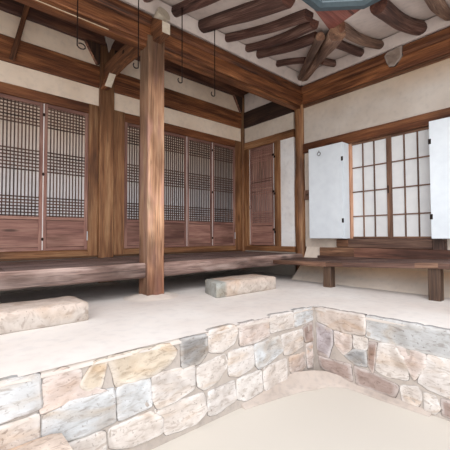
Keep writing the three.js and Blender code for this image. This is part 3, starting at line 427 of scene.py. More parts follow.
def worn_foot_and_painted_shade(foot, reach, code):
    """Tone that nears a worn colour at the foot of a post, with painted shade that darkens its head and its
    west face.
    """
    target = rgb(code)

    def paint(point, tone):
        k = max(0.0, min(1.0, (foot + reach - point.z) / reach))
        k *= 0.75 + 0.5 * noise.noise(point * 4)
        # Painted shade: the head and the west face of each post are darkened.
        head = max(0.0, min(1.0, (point.z - level(2.1)) / 0.35))
        shaded_west_face = point.x - round(point.x / BAY) * BAY <= -0.09
        dim = (1 - 0.5 * head) * (0.5 if shaded_west_face else 1)
        return tuple(dim * (t * (1 - k) + c * k) for t, c in zip(tone, target))

    return paint


# Terrace: cement top, mortared rubble walls


def grown(outline, by):
    """An outline with every side moved outwards."""
    turn = sum(a[0] * b[1] - b[0] * a[1] for a, b in zip(outline, outline[1:] + outline[:1]))
    by = by if turn > 0 else -by
    lines = []
    for a, b in zip(outline, outline[1:] + outline[:1]):
        du, dz = b[0] - a[0], b[1] - a[1]
        size = math.hypot(du, dz)
        lines.append((a[0] + dz / size * by, a[1] - du / size * by, du, dz))
    corners = []
    for (u0, z0, du0, dz0), (u1, z1, du1, dz1) in zip(lines[-1:] + lines[:-1], lines):
        cross = du0 * dz1 - dz0 * du1
        if abs(cross) < 1e-6:
            corners.append((u1, z1))
            continue
        t = ((u1 - u0) * dz1 - (z1 - z0) * du1) / cross
        corners.append((u0 + du0 * t, z0 + dz0 * t))
    return corners


def stone(piece, outline, place, depth, bulge, tone, rough=0.007, wander=0.006, joints=True, fine=0.024):
    """One rough stone: outline in wall coordinates, place(u, z, out) giving a point."""
    shift = random_shift()
    edge = []
    for (u0, z0), (u1, z1) in zip(outline, outline[1:] + outline[:1]):
        parts = max(2, round(math.hypot(u1 - u0, z1 - z0) / fine))
        edge += [(u0 + (u1 - u0) * i / parts, z0 + (z1 - z0) * i / parts) for i in range(parts)]
    threes = zip(edge[-1:] + edge[:-1], edge, edge[1:] + edge[:1])
    soft = [((a[0] + 3 * b[0] + c[0]) / 5, (a[1] + 3 * b[1] + c[1]) / 5) for a, b, c in threes]

    def stray(u, z, seed):
        return wander * noise.noise(Vector((u * 21, z * 21, seed)) + shift)

    edge = [(u + stray(u, z, 3), z + stray(u, z, 8)) for u, z in soft]
    us, zs = [u for u, _ in edge], [z for _, z in edge]
    cu, cz = sum(us) / len(us), sum(zs) / len(zs)
    half_u, half_z = (max(us) - min(us)) / 2, (max(zs) - min(zs)) / 2
    lean_u, lean_z = random.uniform(-0.03, 0.03), random.uniform(-0.03, 0.03)
    rings, grain, tones = [], [], []
    # Each ring's inset, scale about the middle, height as a share of the bulge, and roughness
    profile = [(0, 1, -depth, 0), (0, 1, 0.2, 0), (0.005, 1, 0.75, 0.4)]
    profile += [(0.014, scale, 1.0, 1) for scale in (1, 0.8, 0.6, 0.4, 0.2, 0.05)]
    for index, (inset, scale, out, wild) in enumerate(profile):
        su, sz = scale * max(0.2, 1 - inset / half_u), scale * max(0.2, 1 - inset / half_z)
        ring = []
        for u, z in edge:
            pu, pz = cu + (u - cu) * su, cz + (z - cz) * sz
            push = out * bulge if out > 0 else out
            facet = abs(noise.noise(Vector((pu * 7, pz * 9, 0)) + shift)) * 1.5 - 0.35
            push += wild * rough * facet
            push += wild * rough * 0.7 * noise.noise(Vector((pu * 22, pz * 26, 5)) + shift)
            push += wild * ((pu - cu) * lean_u + (pz - cz) * lean_z)
            ring.append(place(pu, pz, push))
            grain.append(Vector((pu, pz, push)) + shift)
            k = 1.0
            # Edge points on the lower and right sides, where not filled with mortar, are near black: cracks
            # with painted shadow in them; other edge points are darker joints.
            if joints and index < 2:
                shadowed_low_side = (z - cz) / half_z < -0.35 or (u - cu) / half_u > 0.88
                filled = noise.noise(Vector((u * 6, z * 6, 20)) + shift) > 0.22
                k = 0.06 if shadowed_low_side and not filled else 0.62
            fade = 0.35 if joints and index < 4 else 0.0
            tones.append(tuple(k * (c * (1 - fade) + 0.82 * fade) for c in tone))
        rings.append(ring)
    loft(piece, rings, grain, tones)


TONES = {
    "blue": "ccd1d5", "pink": "d3c7c1", "ochre": "d6cbba", "grey": "a2a4a6", "pale": "d7d3d0",
    "cream": "dad4cf", "sand": "d3c8c0", "granite": "bfc2c4", "lilac": "bdb6bb", "brown": "ab9a94",
    "white": "e2dfdc",
}
# Stones seen in the photograph: tone, then the outline as pairs of a place along the wall and a height
FRONT_STONES = [
    ("blue", -4.38, .61, -4.1, .6, -4.09, .45, -4.36, .43),
    ("pink", -4.07, .57, -3.99, .6, -3.91, .57, -3.91, .49, -3.81, .44, -3.96, .44, -4.08, .42),
    ("ochre", -3.9, .5, -3.83, .59, -3.77, .59, -3.8, .46, -3.87, .46),
    ("ochre", -3.75, .6, -3.37, .59, -3.32, .54, -3.37, .48, -3.46, .44, -3.71, .44, -3.73, .53),
    ("grey", -3.28, .6, -3.08, .59, -3.07, .48, -3.14, .42, -3.27, .43),
    ("cream", -3.05, .61, -2.82, .61, -2.79, .57, -2.82, .49, -2.93, .45, -3.05, .48),
    ("pink", -2.76, .6, -2.45, .6, -2.44, .47, -2.6, .45, -2.76, .46),
    ("cream", -2.42, .61, -2.13, .6, -2.12, .48, -2.41, .49),
    ("blue", -2.11, .61, -1.85, .6, -1.84, .5, -2.09, .48),
    ("pale", -4.42, .4, -4.1, .41, -4.1, .27, -4.3, .25, -4.42, .28),
    ("blue", -4.07, .39, -3.96, .42, -3.73, .42, -3.72, .25, -3.85, .24, -3.99, .25, -4.07, .3),
    ("blue", -3.7, .42, -3.51, .42, -3.5, .26, -3.69, .25),
    ("pale", -3.48, .43, -3.18, .41, -3.18, .27, -3.34, .23, -3.45, .23, -3.48, .3),
    ("cream", -3.15, .39, -2.91, .42, -2.89, .35, -2.98, .26, -3.1, .24, -3.15, .28),
    ("pale", -2.87, .43, -2.63, .42, -2.62, .27, -2.78, .24, -2.87, .27),
    ("blue", -2.6, .42, -2.31, .43, -2.27, .31, -2.43, .26, -2.56, .24, -2.6, .28),
    ("pale", -2.28, .43, -2.0, .43, -1.99, .29, -2.15, .26, -2.25, .27),
    ("brown", -1.98, .44, -1.85, .46, -1.85, .31, -1.96, .32),
    ("cream", -4.1, .22, -3.78, .21, -3.77, .06, -4.1, .05),
    ("cream", -3.74, .21, -3.5, .22, -3.42, .15, -3.42, .07, -3.64, .08, -3.74, .12),
    ("cream", -3.46, .22, -3.11, .21, -3.08, .09, -3.16, .04, -3.39, .05),
    ("pale", -3.06, .2, -2.83, .21, -2.81, .08, -3.0, .04, -3.06, .06),
    ("white", -2.79, .21, -2.54, .21, -2.53, .06, -2.7, .04, -2.79, .08),
    ("cream", -2.5, .22, -2.23, .23, -2.22, .03, -2.45, .03, -2.5, .07),
    ("pink", -2.18, .23, -1.97, .22, -1.95, .1, -2.06, .06, -2.17, .11),
    ("pink", -1.93, .28, -1.85, .28, -1.85, .07, -1.92, .08),
]
COURT_STONES = [
    ("sand", 1.48, .6, 1.93, .605, 1.93, .46, 1.77, .44, 1.64, .45, 1.49, .49),
    ("granite", 1.95, .605, 2.62, .605, 2.62, .43, 2.34, .43, 2.15, .44, 1.95, .45),
    ("lilac", 1.48, .46, 1.63, .43, 1.63, .31, 1.59, .19, 1.49, .19),
    ("pink", 1.66, .42, 1.81, .42, 1.81, .32, 1.74, .25, 1.67, .31),
    ("cream", 1.84, .42, 1.95, .42, 1.94, .34, 1.84, .33),
    ("grey", 1.76, .24, 1.84, .31, 1.93, .32, 1.94, .21, 1.85, .2),
    ("brown", 1.97, .4, 2.02, .41, 1.99, .18, 1.96, .21),
    ("cream", 2.05, .41, 2.16, .42, 2.25, .31, 2.25, .2, 2.1, .18, 2.02, .2),
    ("pink", 2.19, .42, 2.37, .41, 2.37, .33, 2.3, .22, 2.26, .3),
    ("pale", 2.4, .41, 2.62, .41, 2.62, .16, 2.43, .17, 2.33, .2),
    ("brown", 1.5, .16, 1.8, .17, 1.81, .05, 1.63, .05, 1.51, .09),
    ("brown", 1.84, .17, 2.05, .15, 2.18, .12, 2.16, .04, 1.86, .04),
    ("cream", 2.21, .13, 2.32, .16, 2.34, .11, 2.32, .03, 2.22, .03),
    ("white", 2.37, .13, 2.43, .13, 2.46, .07, 2.43, .02, 2.37, .02),
    ("brown", 2.48, .13, 2.6, .13, 2.61, .03, 2.48, .03),
]


def random_course(start, end):
    """Outlines of rough stones in three courses along a wall from start to end."""
    kinds = ["blue", "pink", "pale", "cream", "pale", "cream", "lilac", "sand", "brown", "white"]
    heights = [0.03, 0.22, 0.425, 0.605]
    joint = 0.012

    def jitter(k=0.016):
        return random.uniform(-k, k)

    found = []
    for low, high in zip(heights, heights[1:]):
        u = start + joint
        while u < end - 0.12:
            stop = min(u + random.uniform(0.2, 0.46), end - joint)
            if end - stop < 0.14:
                stop = end - joint
            middle, right = (u + stop) / 2, stop - 0.014
            corners = [
                (u + jitter(), high - 0.008 + jitter(0.008)),
                (middle, high - 0.008 + jitter(0.008)),
                (right + jitter(), high - 0.01 + jitter(0.008)),
                (right + jitter(), low + 0.012 + jitter()),
                (middle, low + 0.006 + jitter(0.01)),
                (u + jitter(), low + 0.012 + jitter()),
            ]
            found.append((random.choice(kinds), *corners))
            u = stop + joint
    return found


def outlines(table):
    """Each stone's tone and corners."""
    return [(kind, *zip(numbers[::2], numbers[1::2])) for kind, *numbers in table]


def terrace_walls():
    """The stones of the six terrace walls, finest along the court."""
    front, side = outlines(FRONT_STONES), outlines(COURT_STONES)
    sides = [
        (front + random_course(BASE_WEST, -4.44), lambda u, z, out: (u, FRONT + 0.014 - out, z)),
        (side + random_course(2.64, -BASE_SOUTH), lambda u, z, out: (COURT + 0.014 - out, -u, z)),
        (random_course(COURT, BASE_EAST), lambda u, z, out: (u, BASE_SOUTH + 0.014 - out, z)),
        (random_course(BASE_SOUTH, BASE_REAR), lambda u, z, out: (BASE_EAST - 0.014 + out, u, z)),
        (random_course(-BASE_EAST, -BASE_WEST), lambda u, z, out: (-u, BASE_REAR - 0.014 + out, z)),
        (random_course(-BASE_REAR, -FRONT), lambda u, z, out: (BASE_WEST + 0.014 - out, -u, z)),
    ]
    court, outer = Piece(), Piece()
    for index, (stones, place) in enumerate(sides):
        for kind, *outline in stones:
            if index in (0, 3, 4):
                outline = outline[::-1]
            dressed = kind in ("sand", "granite") and index == 1
            piece, fine = (court, 0.024) if index < 2 else (outer, 0.036)
            rough = 0.004 if dressed else 0.011
            tone = tint(TONES[kind], 0.04)
            stone(piece, grown(outline, 0.015), place, 0.03, 0.008, tone, rough, fine=fine)
    court.make("court_terrace_stones", STONE, "stone")
    outer.make("outer_terrace_stones", STONE, "stone")


def rounded_top(outline, low, high, inset, round_by, step, sag=0.0):
    """A block over an outline of corners, finely divided, with a rounded and uneven top edge."""
    mesh = bmesh.new()
    mesh.faces.new([mesh.verts.new((x, y, high)) for x, y in outline])
    cuts = []
    for axis, values in ((X, [x for x, _ in outline]), (Y, [y for _, y in outline])):
        first, last = min(values), max(values)
        cuts += [(axis, first + k * step) for k in range(1, int((last - first) / step) + 1)]
    for normal, at in cuts:
        geometry = mesh.verts[:] + mesh.edges[:] + mesh.faces[:]
        bmesh.ops.bisect_plane(mesh, geom=geometry, plane_co=normal * at, plane_no=normal)
    mesh.verts.index_update()
    rim = {v.index for e in mesh.edges if len(e.link_faces) == 1 for v in e.verts}
    top = [v.co.copy() for v in mesh.verts]
    faces = [[v.index for v in f.verts] for f in mesh.faces]
    sides = []
    inward = {i: Vector() for i in rim}
    for loop in [loop for f in mesh.faces for loop in f.loops]:
        if len(loop.edge.link_faces) == 1:
            a, b = loop.vert, loop.link_loop_next.vert
            sides.append((a.index, b.index))
            d = b.co - a.co
            for v in (a, b):
                inward[v.index] += Vector((-d.y, d.x, 0)).normalized()
    mesh.free()
    for n in inward.values():
        n.x, n.y = [max(-1, min(1, round(c, 3))) for c in (n.x, n.y)]
    verts = []
    for i, v in enumerate(top):
        lift = 0.004 * noise.noise(v * 1.3) + 0.002 * noise.noise(v * 6)
        moved = v + Vector((0, 0, lift - 0.003))
        if i in rim:
            moved += inward[i] * (inset + round_by) - Vector((0, 0, 0.004))
        verts.append(moved)
    # Points down the side below each point of the rim
    chains = {}
    for i in rim:
        n = len(verts)
        chains[i] = [i, n, n + 1, n + 2]
        for out, down in ((0.3, round_by * 0.25), (1.0, round_by)):
            wave = 0.006 * noise.noise(top[i] * 2.1)
            reach = inset + round_by * (1 - out) + wave
            verts.append(top[i] + inward[i] * reach - Vector((0, 0, down + 0.004)))
        drop = sag * (0.5 + noise.noise(top[i] * 3.1) + 0.5 * noise.noise(top[i] * 9))
        verts.append(Vector((top[i].x, top[i].y, low - drop)) + inward[i] * inset)
    for a, b in sides:
        for r in range(3):
            faces.append([chains[b][r], chains[a][r], chains[a][r + 1], chains[b][r + 1]])
    after = dict(sides)
    foot, a = [], sides[0][0]
    while len(foot) < len(after):
        foot.append(chains[a][3])
        a = after[a]
    faces.append(foot[::-1])
    # The sides below the rounded edge are darker than the top: painted shade.
    shaded_side_tones = [(0.72, 0.7, 0.68)] * (len(verts) - len(top))
    piece = Piece()
    piece.add(verts, faces, None, [WHITE] * len(top) + shaded_side_tones)
    return piece


def terrace():
    """Mortar core, cement top, stones, the pads under the posts and the fillet along the foot."""
    outline = [(BASE_WEST, FRONT), (COURT, FRONT), (COURT, BASE_SOUTH)]
    outline += [(BASE_EAST, BASE_SOUTH), (BASE_EAST, BASE_REAR), (BASE_WEST, BASE_REAR)]
    core = rounded_top(outline, 0.0, TERRACE - 0.02, 0.0135, 0.0, 0.3)
    core.make("terrace_mortar", MORTAR, "stone", ["terrace"], smooth=50)
    top = rounded_top(outline, TERRACE - 0.026, TERRACE + 0.004, 0.006, 0.02, 0.09, 0.014)
    top.make("terrace_top", CEMENT, "stone", smooth=50)
    terrace_walls()
    pads = Piece()
    spots = [(WEST, 0), (WEST + BAY, 0), (0, 0), (0, -WING_BAY), (0, 2 * -WING_BAY)]
    spots += [(WEST, INNER), (WEST + BAY, INNER), (0, INNER)]
    for x, y in spots:
        reach = 0.36 if y == 0 and x < 0 else 0.24
        ring = []
        for a in [k * 0.45 for k in range(14)]:
            u = reach * math.cos(a) * random.uniform(0.86, 1.0)
            v = reach * 0.85 * math.sin(a) * random.uniform(0.86, 1.0)
            ring.append((u, v))

        def place(u, v, out):
            away = math.hypot(u, v / 0.85) / (reach * 0.86)
            lumps = 0.008 * noise.noise(Vector((u * 14, v * 14, reach)))
            dome = 0.042 * max(0.0, 1 - away * away) + lumps if out > 0 and away < 1 else 0.0
            return Vector((x + u, y + v, TERRACE + (min(out, 0.0) + dome)))

        stone(pads, ring, place, 0.01, 0.03, tint("f4efea", 0.02), 0.004, joints=False)
    pads.make("foundation_stones", CEMENT, "stone")
    # Mortar run up against the foot of the walls, widest in the inner corner
    lip = Piece()
    route = [
        (-2.75, FRONT, 0.03, -Y), (-2.4, FRONT, 0.09, -Y), (-2.2, FRONT, 0.14, -Y),
        (-2.0, FRONT - 0.1, 0.13, -X - Y), (COURT - 0.06, FRONT - 0.16, 0.1, -X - Y),
        (COURT, FRONT - 0.36, 0.05, -X), (COURT, FRONT - 0.62, 0.05, -X), (COURT, FRONT - 0.95, 0.03, -X),
    ]
    rows = []
    for x, y, reach, out in route:
        out = out.normalized()
        foot = Vector((min(x, COURT + 0.01), min(y, FRONT + 0.01), 0))
        back = foot - out * 0.04
        middle = foot + out * reach * 0.45 + Z * reach * 0.22
        end = foot + out * reach
        rows.append([back, back + Z * (0.02 + reach * 0.55), middle, end + Z * 0.003, end])
    loft(lip, rows, None, tint("e6e0db"))
    lip.make("terrace_fillet", MORTAR, "stone", smooth=80)


def rough_block(name, low, high, node, tone, end_tone=None, slant=0.0):
    """A split stone step with rough edges; its west end can slant and have a tone of its own."""
    piece = Piece()
    low, high = Vector(low), Vector(high)
    size = high - low
    rings, grain, tones = [], [], []
    count = 26
    shift = random_shift()
    for i in range(count + 1):
        x = low.x + size.x * i / count
        pull = 0.01 if i in (0, count) else 0
        for u, v in section(size.y - 2 * pull, size.z - pull, 0.011):
            p = Vector((x, (low.y + high.y) / 2 + u, (low.z + high.z - pull) / 2 + v))
            k = noise.noise(p * 7 + shift) * 0.006 + noise.noise(p * 22 + shift) * 0.003
            p.y -= k if u > 0 else -k
            p.z -= abs(k) * 1.6 if v > 0 else 0
            p.x += slant * (0.5 + u / size.y) * max(0.0, 1 - 2.5 * i / count)
            rings.append(p)
            grain.append(p + shift)
            part = noise.noise(Vector((x * 3, 0, 0)) + shift)
            here = tuple(c * (1 + 0.05 * part) for c in tone)
            if v > size.z * 0.3:
                here = (here[0] * 1.02, here[1] * 0.95, here[2] * 0.91)
            tones.append(end_tone if end_tone and x < low.x + 0.13 else here)
    sides = len(rings) // (count + 1)
    rings = [rings[k * sides:(k + 1) * sides] for k in range(count + 1)]
    loft(piece, rings, grain, tones)
    piece.make(name, STONE, "stone", [node], smooth=60)


# Timber frame


def painted_shade_above(height, dim, blend=0.7):
    """Tone that darkens above a height over the terrace: painted shade towards the top."""

    def paint(point, tone):
        k = max(0.0, min(1.0, (point.z - level(height)) / blend + 0.5))
        return tuple(t * (1 - k + k * dim) for t in tone)

    return paint


def frame_posts():
    """Front posts, the round corner post, inner posts and the brackets at their heads."""
    post = Piece()
    paint = worn_foot_and_painted_shade(TERRACE, 0.75, "b08a80")
    foot, top = level(0.031), level(2.8)
    for x, y in ((WEST, 0), (WEST + BAY, 0), (0, -WING_BAY), (0, 2 * -WING_BAY)):
        timber(post, (x, y, foot), (x, y, top), 0.203, 0.203, Y, 0.012, 0.005, 0.14, shade(0.04, 1.18), paint)
    post.make(
        "front_posts", POST, "old_timber", ["front_post_1", "front_post_2", "wing_post_1", "wing_post_2"]
    )
    corner = Piece()
    path = [
        (0.0, 0.0, foot), (0, 0.012, level(0.7)), (0, 0.012, level(1.3)), (0, -0.004, level(2.0)),
        (0, -0.004, top),
    ]
    log(corner, path, [0.094, 0.09, 0.097, 0.092, 0.099], 18, 0.05, 0.1, shade(0.03), up=Y)
    corner.make("corner_log_post", GOLD, "frame_timber", ["corner_post"], smooth=60)
    inner = Piece()
    # Painted shade over the upper part of the inner posts.
    paint = painted_shade_above(2.2, 0.55)
    for x in (WEST, WEST + BAY, 0):
        head = (x, INNER, level(3.28))
        timber(inner, (x, INNER, foot), head, 0.2, 0.2, Y, 0.01, 0.003, 0.2, shade(0.05), paint)
    inner.make("inner_posts", GOLD, "old_timber", ["inner_post_1", "inner_post_2", "inner_post_3"])
    brackets = Piece()
    shape = [(0.11, 3.01), (0.14, 3.0), (0.2, 3.1), (0.3, 3.279), (0.11, 3.279)]
    white_edge = [(0.142, 3.0), (0.15, 3.0), (0.315, 3.279), (0.302, 3.279)]
    for x, side in ((WEST, -1), (WEST, 1), (WEST + BAY, -1), (WEST + BAY, 1), (0, -1)):
        dark, white = ([(x + side * u, level(z)) for u, z in line] for line in (shape, white_edge))
        plate(brackets, dark, facing_court, INNER - 0.1, INNER - 0.052, along="v")
        plate(brackets, white, facing_court, INNER - 0.1, INNER - 0.056, (6, 6, 6))
    brackets.make("post_brackets", DARK, "old_timber")


def stacked_beam(piece, place, start, end, ties=()):
    """Beam, bearer and rounded purlin on each other, the upper two cut off beside each tie beam."""
    stack = (
        (2.69, 2.739, 0.06, 0.8, 0.006), (2.74, 2.911, 0.08, 1.0, 0.012), (2.912, 3.044, 0.1, 0.92, 0.03)
    )
    for low, high, half, tone, chamfer in stack:
        middle = level((low + high) / 2)
        cuts = [s + side for s in ties for side in (-0.0615, 0.0615)] if low > 2.7 else []
        stops = [start, *cuts, end]
        for a, b in zip(stops[::2], stops[1::2]):
            ends = place(a, middle), place(b, middle)
            timber(piece, *ends, 2 * half, high - low, Z, chamfer, 0.004, 0.2, shade(0.08, tone))


def frame_beams():
    """Eave beams, tie beams with white heads, the dark beams inside and the leaning strut."""
    beam = Piece()
    stacked_beam(beam, lambda s, z: (s, 0, z), WEST - 0.65, 0.1, (WEST, WEST + BAY))
    stacked_beam(beam, lambda s, z: (0, s, z), SOUTH - 0.65, -0.1)
    beam.make("eave_beams", REDDISH, "old_timber", ["front_beam", "wing_beam"])
    line = Piece()
    # Two dark lines along the wing beam, painted shadow lines, and a cream line along the front beam's lower
    # front edge, a painted highlight.
    brown, cream = (0.2, 0.13, 0.1), (0.9, 0.8, 0.68)
    for start, end, z, tone in (
        ((-0.0675, SOUTH - 0.6), (-0.0675, -0.11), 2.696, brown),
        ((-0.0675, SOUTH - 0.6), (-0.0675, -0.11), 2.722, brown),
        ((WEST - 0.6, -0.068), (-3.22, -0.068), 2.694, cream),
    ):
        timber(line, (*start, level(z)), (*end, level(z)), 0.009, 0.006, Z, 0.001, 0, tone=tone)
    line.make("beam_painted_shadow_and_highlight_lines", WHITE_PAINT, "old_timber")
    tie, heads = Piece(), Piece()
    profile = [
        (-0.29, 2.757), (-0.103, 2.745), (-0.1, 2.81), (0.3, 2.83), (0.75, 2.85), (1.15, 2.83),
        (1.247, 2.805), (1.247, 3.004), (-0.1, 3.004), (-0.29, 2.882),
    ]
    profile = [(y, level(z)) for y, z in profile]
    front = [(-0.0465, level(2.76)), (0.0465, level(2.76)), (0.0465, level(2.878)), (-0.0465, level(2.878))]
    block = [(1.06, level(2.855)), (1.1, level(2.665)), (1.246, level(2.665)), (1.246, level(2.855))]
    for x in (WEST, WEST + BAY):
        plate(tie, profile, lambda u, v, w: (x + w * (0.8 if u < -0.1 else 1.0), u, v), -0.058, 0.058)
        plate(heads, front, lambda u, v, w: (x + u, -0.2905 + w, v), -0.002, 0.004)
        stub = [(x + 0.015, -0.12, level(2.99)), (x + 0.02, -0.21, level(3.03))]
        log(heads, stub, [0.075, 0.085], 16, 0.12, 0.03)
        lean = lambda u, v, w: (x - 0.047 + 0.6 * w + 0.27 * (v - level(2.85)), u + 0.004, v)
        plate(tie, block, lean, 0.004, 0.152, shade(0.03, 1.5))
        face = [
            (x - 0.048, level(2.85)), (x + 0.041, level(2.85)), (x - 0.01, level(2.66)),
            (x - 0.099, level(2.66)),
        ]
        sloping = lambda u, v, w: (u, 1.056 + 0.21 * (level(2.855) - v) + w, v)
        plate(heads, face, sloping, 0, 0.006, shade(0.02, 1.1))
        # A flat black disc on each tie beam: the painted shade of a peg hole.
        hole = [(x - 0.059, 0.62, level(2.93)), (x - 0.0605, 0.62, level(2.93))]
        log(heads, hole, [0.026, 0.026], 12, 0, 0.002, (0.02, 0.015, 0.01))
    tie.make("tie_beams", BEAM, "old_timber", ["tie_beam_1", "tie_beam_2"])
    heads.make("white_beam_heads", WHITE_PAINT, "old_timber")
    rest = Piece()
    slab(rest, (-0.075, 0.104, level(2.69)), (0.075, 1.246, level(2.995)), shade(0.03, 0.9), 0.004, 0.012)
    purlin = (WEST - 0.65, INNER - 0.08, level(3.281)), (0.1, INNER + 0.08, level(3.524))
    slab(rest, *purlin, (2.3, 2.0, 1.8), 0.004, 0.02)
    rest.make("inner_beams_dark", DARK, "old_timber", ["return_beam", "inner_purlin"])
    lower = Piece()
    for bay in range(2):
        left = WEST + bay * BAY + 0.103
        low, high = (left, INNER - 0.074, level(2.695)), (left + 2.494, INNER, level(2.996))
        slab(lower, low, high, shade(0.04), 0.005, 0.014)
    lower.make("inner_wall_beams", REDDISH, "old_timber", ["inner_beam_1", "inner_beam_2"])
    strut = Piece()
    ends = (WEST + 1.565, INNER - 0.1, level(2.71)), (WEST + 1.73, INNER - 0.1, level(3.5))
    timber(strut, *ends, 0.055, 0.045, Y, 0.006, 0.004)
    strut.make("leaning_strut", BEAM, "old_timber")


# Walls and lattice doors


class Face:
    """A wall seen from outside: u runs along it, out stands away from it."""

    def __init__(self, origin, along, out):
        self.origin, self.along, self.out = Vector(origin), Vector(along), Vector(out)

    def at(self, u, z, out=0.0):
        return self.origin + self.along * u + self.out * out + Z * z

    def bar(self, piece, a, b, width, depth, out=0.0, tone=None, wobble=0.0, chamfer=0.0015, paint=None):
        """A bar from (u, z) to (u, z), its face standing out by out."""
        start, end = self.at(*a, out - depth / 2), self.at(*b, out - depth / 2)
        timber(piece, start, end, width, depth, self.out, chamfer, wobble, 0.25, tone, paint)

    def post(self, piece, u, low, high, *size_and_look, **more):
        """An upright bar at u."""
        self.bar(piece, (u, low), (u, high), *size_and_look, **more)

    def rail(self, piece, z, left, right, *size_and_look, **more):
        """A level bar at height z."""
        self.bar(piece, (left, z), (right, z), *size_and_look, **more)


def papered(point, tone):
    """Door paper: darker and warmer towards the top, painted shade, and brighter bluish white lower down,
    painted light from the court.
    """
    k = max(0.0, min(1.0, (level(2.05) - point.z) / 0.9))
    tones = zip(tone, (0.95, 0.8, 0.68), (1.08, 1.1, 1.18))
    return tuple(t * (warm * (1 - k) + cool * k) for t, warm, cool in tones)


def lattice_leaf(leaf, bars, paper, face, left, right, low, high, panel, bands, sheet_tone, columns=12):
    """A leaf with a boarded panel below, and bars over paper above, close together in the bands."""
    stile, tone = 0.043, shade(0.05)
    # Painted shade: stiles and rails darken towards the top of the leaf.
    dim = painted_shade_above(1.75, 0.62, 1.5)
    for u in (left + stile / 2 + 0.002, right - stile / 2 - 0.002):
        face.post(leaf, u, low + 0.003, high - 0.003, stile, 0.034, 0, tone, 0.001, 0.003, dim)
    a, b = left + stile, right - stile
    rails = [(low + 0.022, 0.04), (panel + 0.018, 0.036), (high - 0.026, 0.046)]
    for z, width in rails:
        face.rail(leaf, z, a, b, width, 0.032, -0.001, tone, 0.001, 0.003, dim)
    middle = (low + 0.04 + panel) / 2
    face.rail(leaf, middle, a, b, panel - low - 0.036, 0.012, -0.012, shade(0.06, 1.0), 0.002, 0.002)
    for z in (low + 0.046, panel - 0.006):
        face.rail(leaf, z, a, b, 0.008, 0.01, -0.004, shade(0.05, 0.5))
    base, top = panel + 0.036, high - 0.049
    for k in range(1, columns):
        u = a + (b - a) * k / columns
        face.post(bars, u, base, top, 0.0115, 0.014, -0.004, tone, 0.0003)
    for band_low, band_high in bands:
        for k in range(7):
            z = band_low + (band_high - band_low) * k / 6
            face.rail(bars, z, a, b, 0.0135, 0.013, -0.0035, tone)
    face.post(
        paper, (a + b) / 2, base - 0.01, top + 0.01, b - a + 0.01, 0.003, -0.019, sheet_tone, 0.0003,
        paint=papered,
    )


def hinge_plates(piece, face, u, heights):
    """Small plates across a joint between two leaves, each with its pin."""
    for z in heights:
        face.rail(piece, z, u - 0.014, u + 0.014, 0.028, 0.003, 0.0025)
        log(
            piece, [face.at(u, z - 0.02, 0.005), face.at(u, z + 0.02, 0.005)], [0.005, 0.005], 8, 0,
            0.05, up=X,
        )


# Heights of the three bands of close bars on the folding doors and on the return door
DOOR_BANDS = [(level(0.905), level(1.13)), (level(1.454), level(1.696)), (level(2.01), level(2.245))]
RETURN_BANDS = [(level(0.88), level(1.081)), (level(1.41), level(1.668)), (level(2.0), level(2.2))]


def inner_wall():
    """The wall behind the porch: four folding leaves, jambs, rails and plaster in each bay."""
    face, wall, sheet = (Face((0, y, 0), X, -Y) for y in (1.296, 1.29, 1.3))
    doors, bars, papers, strips, iron, jambs, plaster = (Piece() for _ in range(7))
    low, high = level(0.476), level(2.309)
    # Painted shade on the jambs, darker towards the top.
    dim = painted_shade_above(2.1, 0.62)
    for bay, right_jamb in enumerate((0.135, 0.158)):
        left = WEST + bay * BAY + HALF_POST
        right = left + BAY - 2 * HALF_POST
        door_right = right - right_jamb
        door_left = door_right - 4 * LEAF
        for leaf in range(4):
            a = door_left + leaf * LEAF
            # In the second bay the paper darkens leaf by leaf towards the inner corner: painted shade.
            sheet_tone = shade(0.03, 1.0 if bay == 0 else 0.95 - 0.14 * leaf)
            lattice_leaf(
                doors, bars, papers, face, a, a + LEAF, low, high, level(0.86), DOOR_BANDS, sheet_tone
            )
            if leaf:
                face.post(strips, a, level(0.49), level(2.3), 0.011, 0.003, 0.0005, (1.25, 1.1, 1.0))
        u = door_right - 0.004
        face.post(strips, u, level(0.6), level(0.72), 0.014, 0.003, 0.001)
        for leaf in (3, 1):
            hinge_plates(iron, face, door_left + leaf * LEAF, (level(0.62), level(1.42), level(2.16)))
        tone = shade(0.05)
        for a, b in ((left, door_left), (door_right, right)):
            wall.post(
                jambs, (a + b) / 2, level(0.39), level(2.44), b - a - 0.002, 0.155, 0, shade(0.05),
                0.003, 0.006, dim,
            )
        lintel = (0.62, 0.45, 0.36)
        wall.rail(jambs, level(2.375), door_left, door_right, 0.128, 0.15, 0.0, lintel, 0.003, 0.006)
        wall.rail(jambs, level(0.433), door_left, door_right, 0.084, 0.155, 0.004, tone, 0.004, 0.01)
        foot = shade(0.04, 0.45)
        wall.rail(jambs, level(0.385), left, right, 0.032, 0.03, 0.002, foot, 0.001, 0.006)
        for z0, z1 in ((2.441, 2.693), (2.998, 3.279)):
            z = level((z0 + z1) / 2)
            sheet.rail(plaster, z, left, right, z1 - z0 - 0.001, 0.098, 0, (1.27, 1.21, 1.14), 0.004, 0.004)
        backing = (left + 0.001, INNER + 0.002, level(2.6)), (right - 0.001, INNER + 0.05, level(3.1))
        slab(plaster, *backing, shade(0.02), 0.003)
    doors.make("lattice_doors", DOOR, "door_timber", ["folding_doors_1", "folding_doors_2"])
    bars.make("door_lattice", LATTICE, "door_timber")
    papers.make("door_papers", PAPER, "paper")
    strips.make("paper_strips", SHUTTER, "paper")
    iron.make("door_hinge_plates", IRON, "iron")
    jambs.make("door_jambs", GOLD, "frame_timber", ["door_frame_1", "door_frame_2"])
    plaster.make("inner_wall_plaster", PLASTER, "plaster", ["inner_wall_1", "inner_wall_2"])


